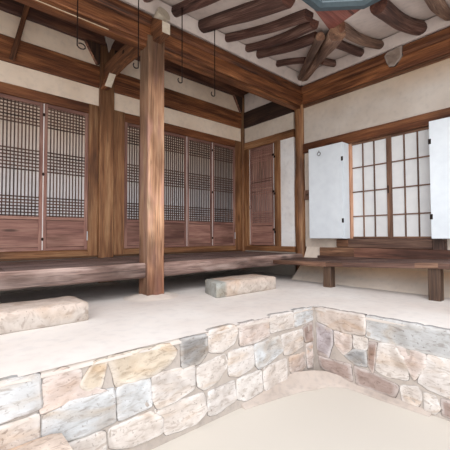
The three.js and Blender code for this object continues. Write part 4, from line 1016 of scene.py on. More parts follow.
def return_wall():
    """The short wall at the corner with its hinged lattice door."""
    wall = Face((-0.06, 0, 0), Y, -X)
    jambs, plaster, leaf, bars, paper, strip, iron, fixed = (Piece() for _ in range(8))
    low, high = level(0.478), level(2.277)
    # Painted shade on the jambs, darker towards the top.
    dim = painted_shade_above(2.1, 0.62)
    for a, b in ((0.383, 0.513), (1.12, 1.247)):
        u = (a + b) / 2
        wall.post(jambs, u, level(0.387), level(2.41), b - a, 0.118, 0, shade(0.05), 0.003, 0.006, dim)
    for a, b in ((0.385, 0.478), (2.277, 2.41)):
        z = level((a + b) / 2)
        wall.rail(jambs, z, 0.1035, 1.247, b - a - 0.001, 0.12, 0.001, shade(0.05), 0.003, 0.006)
    jambs.make("return_door_jambs", GOLD, "frame_timber", ["return_frame"])
    sheet = Face((-0.05, 0, 0), Y, -X)
    sheet.post(plaster, 0.243, low + 0.001, high - 0.001, 0.277, 0.098, 0, (1.35, 1.52, 1.75), 0.003)
    z = level(2.55)
    sheet.rail(plaster, z, 0.1035, 1.2465, 0.277, 0.098, 0, shade(0.02), 0.003)
    plaster.make("return_wall_plaster", PLASTER, "plaster", ["return_side_wall", "return_upper_wall"])
    door = Face((-0.058, 0, 0), Y, -X)
    edges = 0.525, 1.114, low + 0.006, high - 0.006, level(0.84)
    # The return door's paper is toned dark brown: painted shade of the inner corner.
    lattice_leaf(leaf, bars, paper, door, *edges, RETURN_BANDS, (0.42, 0.31, 0.27))
    leaf.make("return_door_leaf", DOOR, "door_timber", ["return_door"], body="door")
    bars.make("return_door_lattice", DOOR, "door_timber", body="door")
    paper.make("return_door_paper", PAPER, "paper", body="door")
    for u in (0.5285, 1.1105):
        door.post(strip, u, low + 0.02, high - 0.02, 0.009, 0.002, 0.0015, (1.2, 1.1, 1.0))
    strip.make("return_door_strips", SHUTTER, "paper", body="door")
    for z in (level(0.7), level(1.36), level(2.0)):
        pin = [(-0.065, 0.517, z + up) for up in (0, 0.04, 0.0405, 0.0805)]
        log(fixed, pin[:2], [0.006, 0.006], 12, 0, 0.02, up=Y)
        wall.rail(fixed, z + 0.02, 0.487, 0.513, 0.038, 0.003, 0.004)
        log(iron, pin[2:], [0.006, 0.006], 12, 0, 0.02, up=Y)
        door.rail(iron, z + 0.0605, 0.521, 0.562, 0.038, 0.003, 0.0035)
    ring(iron, (-0.0685, 1.085, level(1.18)), 0.03, 0.003)
    fixed.make("return_hinges_fixed", IRON, "iron")
    iron.make("return_hinges_leaf", IRON, "iron", body="door")


def ring(piece, centre, radius, thick):
    """A small iron ring hanging in the plane across X."""
    a = X.cross(Z)
    b = X.cross(a)
    count, sides = 24, 8
    verts, faces = [], []
    for i in range(count):
        t = 2 * math.pi * i / count
        d = a * math.cos(t) + b * math.sin(t)
        here, after = i * sides, (i + 1) % count * sides
        for k in range(sides):
            s = 2 * math.pi * k / sides
            verts.append(Vector(centre) + d * radius + (d * math.cos(s) + X * math.sin(s)) * thick)
            faces.append((here + k, here + (k + 1) % sides, after + (k + 1) % sides, after + k))
    piece.add(verts, faces)


# Side wing front


def window_sash(bars, paper, left, right, face, pale=False):
    """A papered window leaf with three columns and four rows; its left stile can be toned pale, a painted
    highlight.
    """
    low, high = level(0.608), level(1.956)
    # A pale left stile: painted light.
    painted_light_tone = (2.6, 2.7, 2.8) if pale else None
    face.post(bars, left + 0.018, low, high, 0.036, 0.028, 0, painted_light_tone, 0.001, 0.003)
    face.post(bars, right - 0.014, low, high, 0.028, 0.028, 0, None, 0.001, 0.003)
    for z in (low + 0.014, high - 0.016):
        face.rail(bars, z, left, right, 0.028, 0.026, -0.001)
    for k in (1, 2):
        u = left + 0.036 + (right - left - 0.072) * k / 3
        face.post(bars, u, low, high, 0.015, 0.018, -0.003)
    for z in (0.918, 1.26, 1.6):
        face.rail(bars, level(z), left, right, 0.015, 0.016, -0.004)
    u = (left + right) / 2
    face.post(paper, u, low, high, right - left - 0.04, 0.003, -0.019, (0.98, 0.92, 0.87))


def shutter(piece, iron, centre, side):
    """A papered shutter, a little warped, on its side board."""
    face = Face((-0.235, 0, 0), Y * side, -X)
    hinge = (centre + side * 0.54) * side
    low, high = level(0.61), level(1.954)
    middle = (low + high) / 2
    edge = [
        (low, -0.006), (low + 0.006, 0), (middle, 0.002), (high - 0.006, 0),
        (high, -0.006), (high, -0.029), (middle, -0.03), (low, -0.029),
    ]
    rings = []
    for k in range(9):
        t = k / 8
        bow = 0.006 * math.sin(math.pi * t)
        rings.append([face.at(hinge + 0.002 + 0.546 * t, z, out - bow) for z, out in edge])
    loft(piece, rings[::side], points_of(rings), shade(0.02))
    board = hinge + 0.0125
    face.post(piece, board, low, high, 0.024, 0.15, -0.034, shade(0.02), 0.001, 0.003)
    for z in (level(0.86), level(1.72)):
        face.post(iron, hinge + 0.004, z - 0.03, z + 0.03, 0.03, 0.003, 0.002)
    pull = hinge + 0.368
    ring(iron, face.at(pull, level(1.852), 0.005), 0.026, 0.0035)
    face.post(iron, pull, level(1.87), level(1.9), 0.008, 0.004, 0.004)


def wing_front():
    """The side wing's court wall: plaster, windows, sills, shutters and the sloping foot wall."""
    walls, frames, sills, sashes, papers, shutters, iron, blocks = (Piece() for _ in range(8))
    wall, head, low, sash = (Face((x, 0, 0), -Y, -X) for x in (-0.05, -0.08, -0.09, -0.039))

    # Painted shade on the upper wall plaster: darker and warmer above 2.5 m over the terrace, darkest beyond
    # y = -1.45; lower down a little lighter and bluish.
    def fade(point, tone):
        dim = (0.93, 0.88, 0.82)
        if point.z < level(2.5):
            dim = (0.98, 1.01, 1.05)
        elif point.y < -1.45:
            dim = (0.84, 0.72, 0.6)
        return tuple(c * k for c, k in zip(tone, dim))

    for bay in range(2):
        base = bay * WING_BAY
        left, right = base + HALF_POST, base + WING_BAY - HALF_POST
        centre = base + WING_BAY / 2
        for a, b in ((left, centre - 0.59), (centre + 0.59, right)):
            u = (a + b) / 2
            wall.post(
                walls, u, level(0.481), level(1.957), b - a - 0.001, 0.148, 0, shade(0.02, 1.05), 0.004,
                0.004,
            )
        z = level((2.111 + 2.689) / 2)
        wall.rail(walls, z, left, right, 0.577, 0.148, 0, shade(0.02), 0.004, 0.004, fade)
        z = level(2.034)
        head.rail(frames, z, left, right, 0.152, 0.1, 0, (0.62, 0.47, 0.4), 0.004, 0.012)
        z = level(1.968)
        head.rail(frames, z, left, right, 0.02, 0.09, 0.006, (0.55, 0.42, 0.36), 0.002, 0.004)
        # The left jamb of each window is toned pale: painted light on the lit side of the opening.
        for u, tone in ((centre - 0.565, (1.7, 1.7, 1.7)), (centre + 0.565, None)):
            wall.post(frames, u, level(0.607), level(1.957), 0.048, 0.148, 0, tone, 0.002, 0.004)
        low.rail(
            sills, level(0.542), centre - 0.727, centre + 0.643, 0.124, 0.148, 0, shade(0.02, 0.8),
            0.004, 0.012,
        )
        low.rail(
            blocks, level(0.545), centre - 0.727, centre - 0.55, 0.1, 0.02, 0.012, (1.3, 1.15, 0.9),
            0.002, 0.008,
        )
        low.post(
            blocks, centre + 0.57, level(0.37), level(0.6), 0.12, 0.05, 0.02, shade(0.05, 0.7), 0.003,
            0.008,
        )
        window_sash(sashes, papers, centre - 0.539, centre + 0.001, sash, True)
        window_sash(sashes, papers, centre + 0.001, centre + 0.539, sash)
        sash.post(iron, centre - 0.01, level(1.2), level(1.3), 0.016, 0.004, 0.0035)
        for side in (1, -1):
            shutter(shutters, iron, -centre, side)
    slab(blocks, (-0.1, -0.212, level(1.215)), (-0.051, -0.118, level(1.362)), shade(0.05, 1.4), 0.002)
    hook = [(-0.112, -0.165, level(1.3)), (-0.125, -0.2, level(1.28)), (-0.115, -0.215, level(1.31))]
    log(iron, hook, [0.004, 0.004], 8, 0, 0.02)
    walls.make("wing_plaster", PLASTER, "plaster", ["wing_wall_1", "wing_wall_2"])
    frames.make("window_frames", GOLD, "frame_timber", ["window_frame_1", "window_frame_2"])
    sills.make("window_sills", BENCH, "frame_timber")
    blocks.make("sill_blocks", BENCH, "frame_timber")
    sashes.make("window_sash_bars", SASH, "frame_timber", ["window_sashes_1", "window_sashes_2"])
    papers.make("window_papers", SHUTTER, "paper")
    names = [f"shutter_{bay}_{side}" for bay in (1, 2) for side in ("left", "right")]
    shutters.make("shutters", SHUTTER, "paper", names)
    iron.make("shutter_iron", IRON, "iron")
    foot = Piece()
    shapes = [
        (-0.438, 0.0), (-0.33, 0.09), (-0.19, 0.22), (-0.11, 0.33), (-0.065, 0.42), (-0.051, 0.479),
        (0.098, 0.479), (0.098, 0.0),
    ]
    rings, count = [], 30
    start, end = -0.123, SOUTH + 0.104
    for k in range(count + 1):
        y = start + (end - start) * k / count
        waves = [0.006 * noise.noise(Vector((x, y, z)) * 3) for x, z in shapes]
        rings.append([Vector((x + wave, y, level(z) + 0.001)) for (x, z), wave in zip(shapes, waves)])
    # Tones of the rings: the foot wall lightened all over, painted light from the terrace, with an orange
    # band just under the bench, painted shade.
    warm = [(1.2, 1.2, 1.2), (1.2, 1.19, 1.18), (1.36, 1.08, 0.82), *[(1.2, 1.19, 1.19)] * 5]
    loft(foot, rings, None, warm * (count + 1))
    foot.make("wing_foot_plaster", PLASTER, "plaster", ["wing_foot_wall"], smooth=60)


# Floors and bench


def floors():
    """The porch floor with its beams, then the wall bench and its back boards."""
    boards = Piece()
    rear = 1.24
    for bay in range(2):
        start = WEST - 0.055 if bay == 0 else WEST + bay * BAY
        end = WEST + (bay + 1) * BAY - (0.055 if bay else 0)
        middle = (start + end) / 2
        for a, b in ((start, middle), (middle, end)):
            count = 7
            y0, y1 = 0.062, 1.298
            for k in range(count):
                low, high = y0 + (y1 - y0) * k / count, y0 + (y1 - y0) * (k + 1) / count
                if bay == 0 and a == start:
                    high = min(high, rear)
                top = level(0.366) + random.uniform(-0.002, 0.001)
                corners = (a + 0.052, low + 0.001, level(0.33)), (b - 0.052, high - 0.001, top)
                slab(boards, *corners, shade(0.14), 0.002, 0.003, 0.3)
        for a, wide in ((start + 0.001, 0.05), (middle - 0.05, 0.1), (end - 0.05, 0.049)):
            slab(boards, (a, 0.06, level(0.24)), (a + wide, rear, level(0.3675)), shade(0.1), 0.003, 0.008)
    left, right = WEST - 0.058, -0.052
    edge = Piece()

    # The top front edge of the porch edge beams is toned lighter: wear, and a painted highlight.
    def worn_and_highlit_edge(point, tone):
        k = 1.5 if point.z > level(0.345) and point.y < -0.02 else 1.0
        return tuple(c * k for c in tone)

    for a, b in ((left, WEST + BAY - 0.104), (WEST + BAY + 0.104, right)):
        corners = (a, -0.06, level(0.2165)), (b, 0.06, level(0.3675))
        slab(edge, *corners, shade(0.04), 0.006, 0.016, 0.12, worn_and_highlit_edge)
    edge.make("porch_edge_beams", EDGE, "floor_timber")
    corners = (WEST + BAY - 0.104, 0.0, level(0.22)), (WEST + BAY + 0.104, 0.058, level(0.2905))
    slab(boards, *corners, shade(0.04), 0.003)
    slab(boards, (left, 1.21, level(0.217)), (right, 1.299, level(0.32)), shade(0.04, 0.9), 0.003)
    boards.make("porch_boards", FLOOR, "floor_timber", ["porch_floor"])
    bench = Piece()
    # The bench rises towards its far end: distance from the corner, height, tone of its front board
    tops = [
        (0.062, 0.303, (1.15, 1.08, 1.0)), (0.92, 0.316, (1.1, 1.05, 1.0)), (1.15, 0.3275, (0.76, 0.74, 0.8)),
        (1.5, 0.345, (0.76, 0.74, 0.8)), (1.95, 0.3668, (1.1, 1.06, 0.98)), (2.16, 0.377, (0.95, 0.93, 0.95)),
        (5.5, 0.385, None),
    ]
    for x0, x1, raised in ((-0.779, -0.6, 0.0), (-0.597, -0.37, 0.006), (-0.367, -0.131, 0.013)):
        x = (x0 + x1) / 2
        for (a, za, edge_tone), (b, zb, _) in zip(tops, tops[1:]):
            parts = max(1, round((b - a) / 1.2))
            for k in range(parts):
                y0, y1 = (-(a + (b - a) * i / parts) for i in (k, k + 1))
                z0, z1 = (level(za + (zb - za) * i / parts) - 0.0275 + raised for i in (k, k + 1))
                tone = edge_tone if x0 < -0.7 else (0.74, 0.76, 0.86)
                timber(bench, (x, y0, z0), (x, y1, z1), x1 - x0, 0.054, Z, 0.008, 0.003, 0.2, tone)
    for leg in range(5):
        y = -0.91 - min(leg * 1.2, 4.4)
        corners = (-0.739, y - 0.055, level(0.001)), (-0.631, y + 0.055, level(0.27 if leg == 0 else 0.33))
        slab(bench, *corners, (1.0, 1.1, 1.0), 0.003, 0.008)
    bench.make("wall_bench", BENCH, "floor_timber", ["bench"])
    back = Piece()
    far = SOUTH + 0.12
    for start, end, height, tone in (
        ((-0.1, -0.41, level(0.414)), (-0.1, -0.95, level(0.417)), 0.128, (1.25, 1.15, 0.95)),
        ((-0.1, -0.952, level(0.417)), (-0.1, far, level(0.424)), 0.128, (1.12, 0.92, 0.88)),
        ((-0.115, -0.38, level(0.32)), (-0.115, far, level(0.34)), 0.07, (0.78, 0.8, 0.92)),
    ):
        timber(back, start, end, 0.05, height, Z, 0.006, 0.003, 0.2, tone)
    back.make("bench_back_board", BENCH, "floor_timber")


# Roof


def soffit(d):
    """Height of the roof's underside at a distance in from the eave."""
    return level(2.795) + 0.3 * min(d, SOFFIT_BREAK) + 0.6 * max(0, d - SOFFIT_BREAK)


def tile_bed(d):
    """Height of the roof's top, under the tiles."""
    return level(2.87) + 0.38 * d + 0.05 * d * d


class Slope:
    """One side of the roof: a runs along its eave between the stops, and d up the slope."""

    def __init__(self, name, stops, place, span, mirrored):
        self.name, self.stops, self.place = name, stops, place
        self.span, self.mirrored = span, mirrored
        self.low, self.high = stops[0], stops[-1]

    def at(self, a, d, z):
        x, y = self.place(a, d)
        return Vector((x, y, z))

    def marks(self, pitch):
        """Even places between the stops, all stops included."""
        found = [self.low]
        for a, b in zip(self.stops, self.stops[1:]):
            count = max(1, int((b - a) / pitch + 0.5))
            found += [a + (b - a) * (k + 1) / count for k in range(count)]
        return found


RIDGE_X, RIDGE_Y = EAST / 2, REAR / 2
RIDGE_END = EAST + EAVE - MAIN_RUN
# Each slope: stops along its eave, place of (a, d) on plan, first and last d at a, mirrored or not
SLOPES = [
    Slope(
        "court_main", [WEST_END, -EAVE, RIDGE_END, RIDGE_X], lambda a, d: (a, d - EAVE),
        lambda a: (max(0, a + EAVE), min(MAIN_RUN, EAST + EAVE - a)), False,
    ),
    Slope(
        "court_wing", [SOUTH_END, -EAVE, RIDGE_X], lambda a, d: (d - EAVE, a),
        lambda a: (max(0, a + EAVE), WING_RUN), True,
    ),
    Slope(
        "east", [SOUTH_END, RIDGE_X, RIDGE_Y, REAR + EAVE], lambda a, d: (EAST + EAVE - d, a),
        lambda a: (0, min(max(WING_RUN, EAVE + a), REAR + EAVE - a)), False,
    ),
    Slope(
        "rear", [WEST_END, RIDGE_END, EAST + EAVE], lambda a, d: (a, REAR + EAVE - d),
        lambda a: (0, min(MAIN_RUN, EAST + EAVE - a)), True,
    ),
]


def slope_shell(piece, slope, low, high, pitch, rows, bulge=0.0):
    """The closed layer between two heights over one slope."""
    lines = slope.marks(pitch)
    under, over = [], []
    for k, a in enumerate(lines):
        start, stop = slope.span(a)
        stop = max(stop, start + 0.002)
        for r in range(rows + 1):
            d = start + (stop - start) * r / rows
            wave = 0
            if 0 < k < len(lines) - 1 and 0 < r < rows:
                wave = bulge * (0.6 + noise.noise(Vector((a * 3, d * 3, 1))))
            under.append(slope.at(a, d, low(d) - wave))
            over.append(slope.at(a, d, high(d)))
    n, w = len(under), rows + 1
    faces = []
    for k in range(len(lines) - 1):
        for r in range(rows):
            q = (k * w + r, (k + 1) * w + r, (k + 1) * w + r + 1, k * w + r + 1)
            faces += [q[::-1], tuple(i + n for i in q)]
        for r, turn in ((0, 1), (rows, -1)):
            q = (k * w + r, (k + 1) * w + r, (k + 1) * w + r + n, k * w + r + n)
            faces.append(q[::turn])
    for k, turn in ((0, -1), (len(lines) - 1, 1)):
        for r in range(rows):
            q = (k * w + r, k * w + r + 1, k * w + r + 1 + n, k * w + r + n)
            faces.append(q[::turn])
    if slope.mirrored:
        faces = [f[::-1] for f in faces]
    piece.add(under + over, faces)


def roof_deck():
    """The plaster under the roof, with the fillings between eaves, beams and walls."""
    deck = Piece()
    for slope in SLOPES:
        slope_shell(deck, slope, soffit, lambda d: tile_bed(d) - 0.004, 0.17, 14, 0.010)
    beam_top = level(3.046)
    over_beam = [
        (-0.17, soffit(EAVE - 0.17) - 0.02), (-0.1, beam_top), (0.08, beam_top),
        (0.1, soffit(EAVE) + 0.02),
    ]
    plate(deck, over_beam, lambda u, v, w: (w, u, v), WEST, -0.11, shade(0.02))
    plate(deck, over_beam[::-1], facing_court, SOUTH, -0.11, shade(0.02))
    over_wall = [(-0.08, beam_top), (0.02, beam_top), (0.02, soffit(EAVE)), (-0.08, soffit(EAVE))]
    plate(deck, over_wall, lambda u, v, w: (-w, REAR + u, v), -EAST, -WEST, shade(0.02))
    plate(deck, over_wall[::-1], lambda u, v, w: (EAST + u, w, v), SOUTH, REAR, shade(0.02))
    ceiling = soffit(SOFFIT_BREAK) + 0.01
    slab(deck, (WEST, INNER - 0.06, level(3.525)), (0, INNER + 0.06, ceiling), shade(0.02))
    slab(deck, (-0.05, 0.0, level(2.997)), (0.05, 1.246, soffit(EAVE) + 0.1), shade(0.02))
    corner = [(-EAVE - CORNER_CUT, -EAVE), (-EAVE, -EAVE - CORNER_CUT), (-EAVE, -EAVE)]
    plate(deck, corner, flat, level(2.795), level(2.87), shade(0.02))
    deck.make("roof_plaster", SOFFIT, "plaster", ["roof_deck_main", "roof_deck_wing"], smooth=50)


# Rafters seen in the photograph: foot at the beam, middle, end at the eave, and radii there
BENT_RAFTERS = [
    [(-5.98, 0.3), (-6.0, -0.6), (-6.02, -1.44), 0.062, 0.066],
    [(-5.62, 0.3), (-5.6, -0.7), (-5.64, -1.44), 0.066, 0.06],
    [(-5.25, 0.3), (-5.27, -0.6), (-5.24, -1.44), 0.06, 0.066],
    [(-4.9, 0.3), (-4.9, -0.7), (-4.93, -1.44), 0.07, 0.064],
    [(-4.52, 0.3), (-4.5, -0.6), (-4.55, -1.44), 0.06, 0.062],
    [(-4.2, 0.3), (-4.22, -0.7), (-4.17, -1.44), 0.066, 0.06],
    [(-3.86, 0.3), (-3.85, -0.6), (-3.9, -1.44), 0.06, 0.066],
    [(-3.5, 0.3), (-3.5, -0.7), (-3.52, -1.44), 0.07, 0.06],
    [(-3.18, 0.3), (-3.2, -0.6), (-3.15, -1.44), 0.06, 0.064],
    [(-2.85, 0.3), (-2.86, -0.6), (-2.9, -1.44), 0.066, 0.062],
    [(-2.48, 0.3), (-2.5, -0.5), (-2.56, -1.44), 0.068, 0.062],
    [(-2.09, 0.3), (-2.12, -0.8), (-2.14, -1.44), 0.085, 0.09],
    [(-1.73, 0.3), (-1.72, -0.75), (-1.8, -1.42), 0.054, 0.06],
    [(-1.35, 0.3), (-1.4, -0.6), (-1.62, -1.36), 0.054, 0.058],
    [(-1.12, 0.2), (-1.2, -0.65), (-1.34, -1.22), 0.066, 0.062],
    [(-0.72, 0.1), (-0.76, -0.36), (-0.74, -0.64), 0.052, 0.046],
]
WING_RAFTERS = [
    [(0.08, -0.69), (-0.14, -0.7), (-0.5, -0.72), 0.048, 0.05],
    [(0.08, -1.09), (-0.42, -1.13), (-1.04, -1.22), 0.052, 0.05],
    [(0.08, -1.38), (-0.55, -1.36), (-1.38, -1.5), 0.05, 0.062],
    [(0.08, -1.86), (-0.6, -1.82), (-1.42, -1.92), 0.082, 0.076],
    [(0.08, -2.12), (-0.62, -2.17), (-1.42, -2.3), 0.06, 0.07],
]


def rafters():
    """Log rafters: the seen ones of both wings, plain ones elsewhere, and the corner rafters."""
    court, pale, hidden = Piece(), Piece(), Piece()
    for k, (a, b, c, r0, r1) in enumerate(BENT_RAFTERS):
        points = [Vector((x, y, soffit(y + EAVE) - 0.034)) for x, y in (a, b, c)]
        x, y = a[0], a[1] + 0.75
        if y <= 1.0 or x <= -1.3:
            points = [Vector((x, y, soffit(y + EAVE) - 0.03)), *points]
        tone = shade(0.12, 0.75 if k == 11 else 1.0)
        log(court, points, [r0 * 0.95, r0, (r0 + r1) / 2, r1], 14, 0.1, 0.09, tone, tint("d9b7a4"))
    wing = [*WING_RAFTERS]
    y = -2.62
    while y > SOUTH_END + 0.1:
        middle = (-0.7, y + random.uniform(-0.05, 0.05))
        end = (-1.44, y + random.uniform(-0.05, 0.05))
        wing.append([(0.08, y), middle, end, random.uniform(0.055, 0.072), random.uniform(0.055, 0.072)])
        y -= 0.34
    for k, (*places, r0, r1) in enumerate(wing):
        points = [
            Vector((x, y, soffit(x + EAVE) - drop)) for (x, y), drop in zip(places, (0.075, 0.05, 0.036))
        ]
        piece = pale if k in (2, 4) else court
        log(piece, points, [r0, (r0 + r1) / 2, r1], 14, 0.1, 0.09, shade(0.14), tint("d9b7a4"))
    court.make("court_rafters", RAFTER, "old_timber", smooth=70)
    pale.make("pale_rafters", PALE_LOG, "old_timber", smooth=70)
    for slope in reversed(SLOPES[2:]):
        a = slope.low + 0.12
        while a < slope.high - 0.4:
            inner = min(EAVE + 0.02, slope.high - a - 0.04)
            ends = [slope.at(a, d, soffit(d) - 0.03) for d in (inner, 0.06)]
            log(hidden, ends, [0.064, 0.06], 10, 0.06, 0.3, shade(0.14), tint("c9a690"))
            a += 0.335
    hidden.make("outer_rafters", RAFTER, "old_timber", smooth=70)
    valley = Piece()
    for side, radii, reach, spread, middle in (
        (-1, (0.038, 0.046, 0.05), 1.37, 0.052, 0.8),
        (1, (0.05, 0.06, 0.09), 1.43, 0.035, 1.15),
    ):
        across = Vector((1, -1, 0)) * 0.7071 * side
        points = []
        for t in (0, 0.5, 1):
            s = 0.05 + (reach - 0.05) * t
            points.append(Vector((-s, -s, soffit(EAVE - s) - 0.075)) + across * (0.034 + spread * t))
        log(valley, points, radii, 14, 0.08, 0.08, shade(0.05, middle), tint("e9d6c4"), flat=0.2)
    hip = [(EAST + 0.05, REAR + 0.05, level(3.1)), (EAST + 1.44, REAR + 1.44, level(2.76))]
    log(valley, hip, [0.08, 0.085], 12, 0.05, 0.2, shade(0.1), tint("d9b7a4"))
    valley.make("corner_rafters", PALE_LOG, "old_timber", smooth=70)
    lump = Piece()
    blob = [
        (1.4, 3.6), (1.46, 3.64), (1.63, 3.65), (1.62, 3.52), (1.57, 3.46), (1.53, 3.41), (1.45, 3.44),
        (1.42, 3.52),
    ]
    stone(lump, blob, lambda u, z, out: (-0.1 - out, -u, z), 0.03, 0.012, tint("b5aba2"), 0.02, 0.012)
    blob = [(-2.757, 4.1), (-2.563, 4.12), (-2.64, 3.96), (-2.69, 3.81), (-2.72, 3.94)]
    stone(lump, blob[::-1], lambda u, z, out: (u, 1.247 - out, z), 0.02, 0.006, tint("c9c6c2"), 0.003)
    lump.make("plaster_patches", SOFFIT, "plaster")


def half_ring(slope, a, d, radius, base):
    """Half a circle standing on the tile bed, across the slope."""
    ring = []
    for k in range(7):
        t = math.pi * k / 6
        ring.append(slope.at(a + radius * math.cos(t), d, tile_bed(d) + base + radius * 0.92 * math.sin(t)))
    return ring


def roof_tiles():
    """Rows of curved channel tiles with rows of round cover tiles over their joints."""
    for slope in SLOPES:
        flip = -1 if slope.mirrored else 1
        front = -0.034 if slope.name in ("east", "rear") else 0.0
        channels, covers = Piece(), Piece()
        lines = slope.marks(0.27)
        for a, b in zip(lines, lines[1:]):
            sa, sb = slope.span(a), slope.span(b)
            rows = max(1, round(max(sa[1] - sa[0], sb[1] - sb[0]) / 0.16))
            rings, tones = [], []
            for r in range(rows):
                tone = shade(0.12)
                for t, lift in ((r / rows, 0.024), ((r + 1) / rows, 0.012)):
                    ring = []
                    for u in (0, 0.25, 0.5, 0.75, 1):
                        start, stop = sa[0] + (sb[0] - sa[0]) * u, sa[1] + (sb[1] - sa[1]) * u
                        d = start + (stop - start) * t
                        z = tile_bed(d) + lift + 0.02 * (2 * u - 1) ** 2
                        ring.append(slope.at(a + (b - a) * u, d, z))
                    for at, (start, stop) in ((b, sb), (a, sa)):
                        d = start + (stop - start) * t
                        ring.append(slope.at(at, d, tile_bed(d) - 0.003))
                    rings.append(ring[::flip])
                    tones += [tone] * len(ring)
            loft(channels, rings, None, tones)
        for a in lines:
            start, stop = slope.span(a)
            if stop - start < 0.1:
                continue
            a = min(max(a, slope.low + 0.07), slope.high - 0.07)
            count = max(1, round((stop - start) / 0.32))
            for k in range(count):
                d0 = start + (stop - start) * k / count
                d1 = start + (stop - start) * (k + 1) / count - 0.003
                if d0 == 0:
                    d0 = front + 0.015
                rings = [half_ring(slope, a, d0, 0.068, 0.02), half_ring(slope, a, d1, 0.058, 0.02)]
                loft(covers, [ring[::flip] for ring in rings], None, shade(0.15))
            if start == 0:
                turns = [2 * math.pi * i / 14 for i in range(14)]
                pair = []
                for d, lift in ((front, 0.018), (front + 0.032, 0.027)):
                    middle = tile_bed(0) + lift
                    disc = [slope.at(a + 0.068 * math.cos(t), d, middle + 0.064 * math.sin(t)) for t in turns]
                    pair.append(disc)
                loft(covers, [ring[::flip] for ring in pair], points_of(pair), shade(0.1, 1.15))
        nodes = ["roof_tiles_main", "roof_tiles_wing"] if slope.name == "court_main" else []
        channels.make(f"tile_channels_{slope.name}", TILE, "roof_tile", nodes)
        covers.make(f"tile_covers_{slope.name}", TILE, "roof_tile", smooth=50)


def ridge(piece, start, end, width, layers):
    """Courses of flat ridge tiles with a round row on top."""
    start, end = Vector(start), Vector(end)
    along = (end - start).normalized()
    side = along.cross(Z).normalized()
    course = 0.036
    bottom = start - Z * 0.045, end - Z * 0.045
    timber(piece, *bottom, width * 0.84, 0.13, Z, 0.004, 0.0015, 0.4, shade(0.05, 0.8))
    for k in range(layers):
        w = width * (1.0 if k % 2 else 0.9) - 0.006 * k
        z = Z * (course * k + 0.016)
        count = max(1, round((end - start).length / 0.3))
        for i in range(count):
            a = start + (end - start) * (i / count) + along * 0.002
            b = start + (end - start) * ((i + 1) / count) - along * 0.002
            timber(piece, a + z, b + z, w, 0.037, Z, 0.006, 0.0015, 0.4, shade(0.12))
    z = Z * (course * layers)
    count = max(1, round((end - start).length / 0.33))
    turns = [math.pi * i / 7 for i in range(8)]
    for i in range(count):
        a = start + (end - start) * (i / count) + z
        b = start + (end - start) * ((i + 1) / count) - along * 0.003 + z
        rings = [
            [p + side * (r * math.cos(t)) + Z * (r * 0.9 * math.sin(t)) for t in turns]
            for p, r in ((a, 0.075), (b, 0.067))
        ]
        loft(piece, [ring[::-1] for ring in rings], points_of(rings), shade(0.12))


def ridges():
    """Both ridges, the hip, the ridge down to the side wing and the tiles over the valley."""
    piece = Piece()
    corner = [(-EAVE - CORNER_CUT, -EAVE), (-EAVE, -EAVE - CORNER_CUT), (-EAVE + 0.02, -EAVE + 0.02)]
    plate(piece, corner, flat, tile_bed(0) + 0.001, tile_bed(0) + 0.03, shade(0.05))
    top = tile_bed(MAIN_RUN) + 0.05
    ridge(piece, (WEST_END + 0.01, 2.025, top), (0.72, 2.025, top), 0.21, 6)
    wing_top = tile_bed(WING_RUN) + 0.05
    ridge(piece, (INNER, SOUTH_END + 0.01, wing_top), (INNER, 1.35, wing_top), 0.21, 6)
    for a, b, steps in (((0.69, 2.04), (4.12, 5.47), 12), ((0.69, 2.01), (1.34, 1.36), 3)):
        points = []
        for t in [k / steps for k in range(steps + 1)]:
            x, y = a[0] + (b[0] - a[0]) * t, a[1] + (b[1] - a[1]) * t
            points.append((x, y, tile_bed(min(EAST + EAVE - x, MAIN_RUN)) + 0.05))
        for p, q in zip(points, points[1:]):
            ridge(piece, p, q, 0.19, 3)
    side = Vector((1, -1, 0)).normalized()
    for k in range(14):
        rings = []
        for s, lift in ((WING_RUN * k / 14, 0.02), (WING_RUN * (k + 1) / 14 + 0.02, 0.006)):
            c = Vector((s - EAVE, s - EAVE, tile_bed(s) + 0.012))
            rows = [
                c + side * u + Z * (0.5 * abs(u) * abs(u) * 8 + lift)
                for u in (-0.14, -0.07, 0, 0.07, 0.14)
            ]
            rings.append(rows + [c + side * 0.14 - Z * 0.01, c - side * 0.14 - Z * 0.01])
        loft(piece, [ring[::-1] for ring in rings], points_of(rings), shade(0.1))
    piece.make("roof_ridges", TILE, "roof_tile")


def eave_trim():
    """Boards under the outer eaves and along both gables."""
    trim = Piece()
    for slope in SLOPES[2:]:
        for d, past, z, width, height, chamfer, wobble in (
            (0.03, -0.03, 2.775, 0.06, 0.05, 0.006, 0.003),
            (-0.012, 0.012, 2.822, 0.022, 0.06, 0.004, 0.001),
        ):
            ends = slope.at(slope.low, d, level(z)), slope.at(slope.high + past, d, level(z))
            timber(trim, *ends, width, height, Z, chamfer, wobble, 0.4)
    west, south = WEST_END - 0.019, SOUTH_END - 0.019
    for run, rear, place in (
        (MAIN_RUN, REAR, lambda across, z: (west, across, z)),
        (WING_RUN, EAST, lambda across, z: (across, south, z)),
    ):
        for across in (lambda d: d - EAVE, lambda d: rear + EAVE - d):
            stops = [run * k / 8 for k in range(9)]
            points = [place(across(d), tile_bed(d) - 0.15) for d in stops]
            for p, q in zip(points, points[1:]):
                timber(trim, p, q, 0.034, 0.27, Z, 0.004, 0.002, 0.5, (0.9, 0.9, 0.9))
    trim.make("eave_and_gable_boards", BEAM, "old_timber")


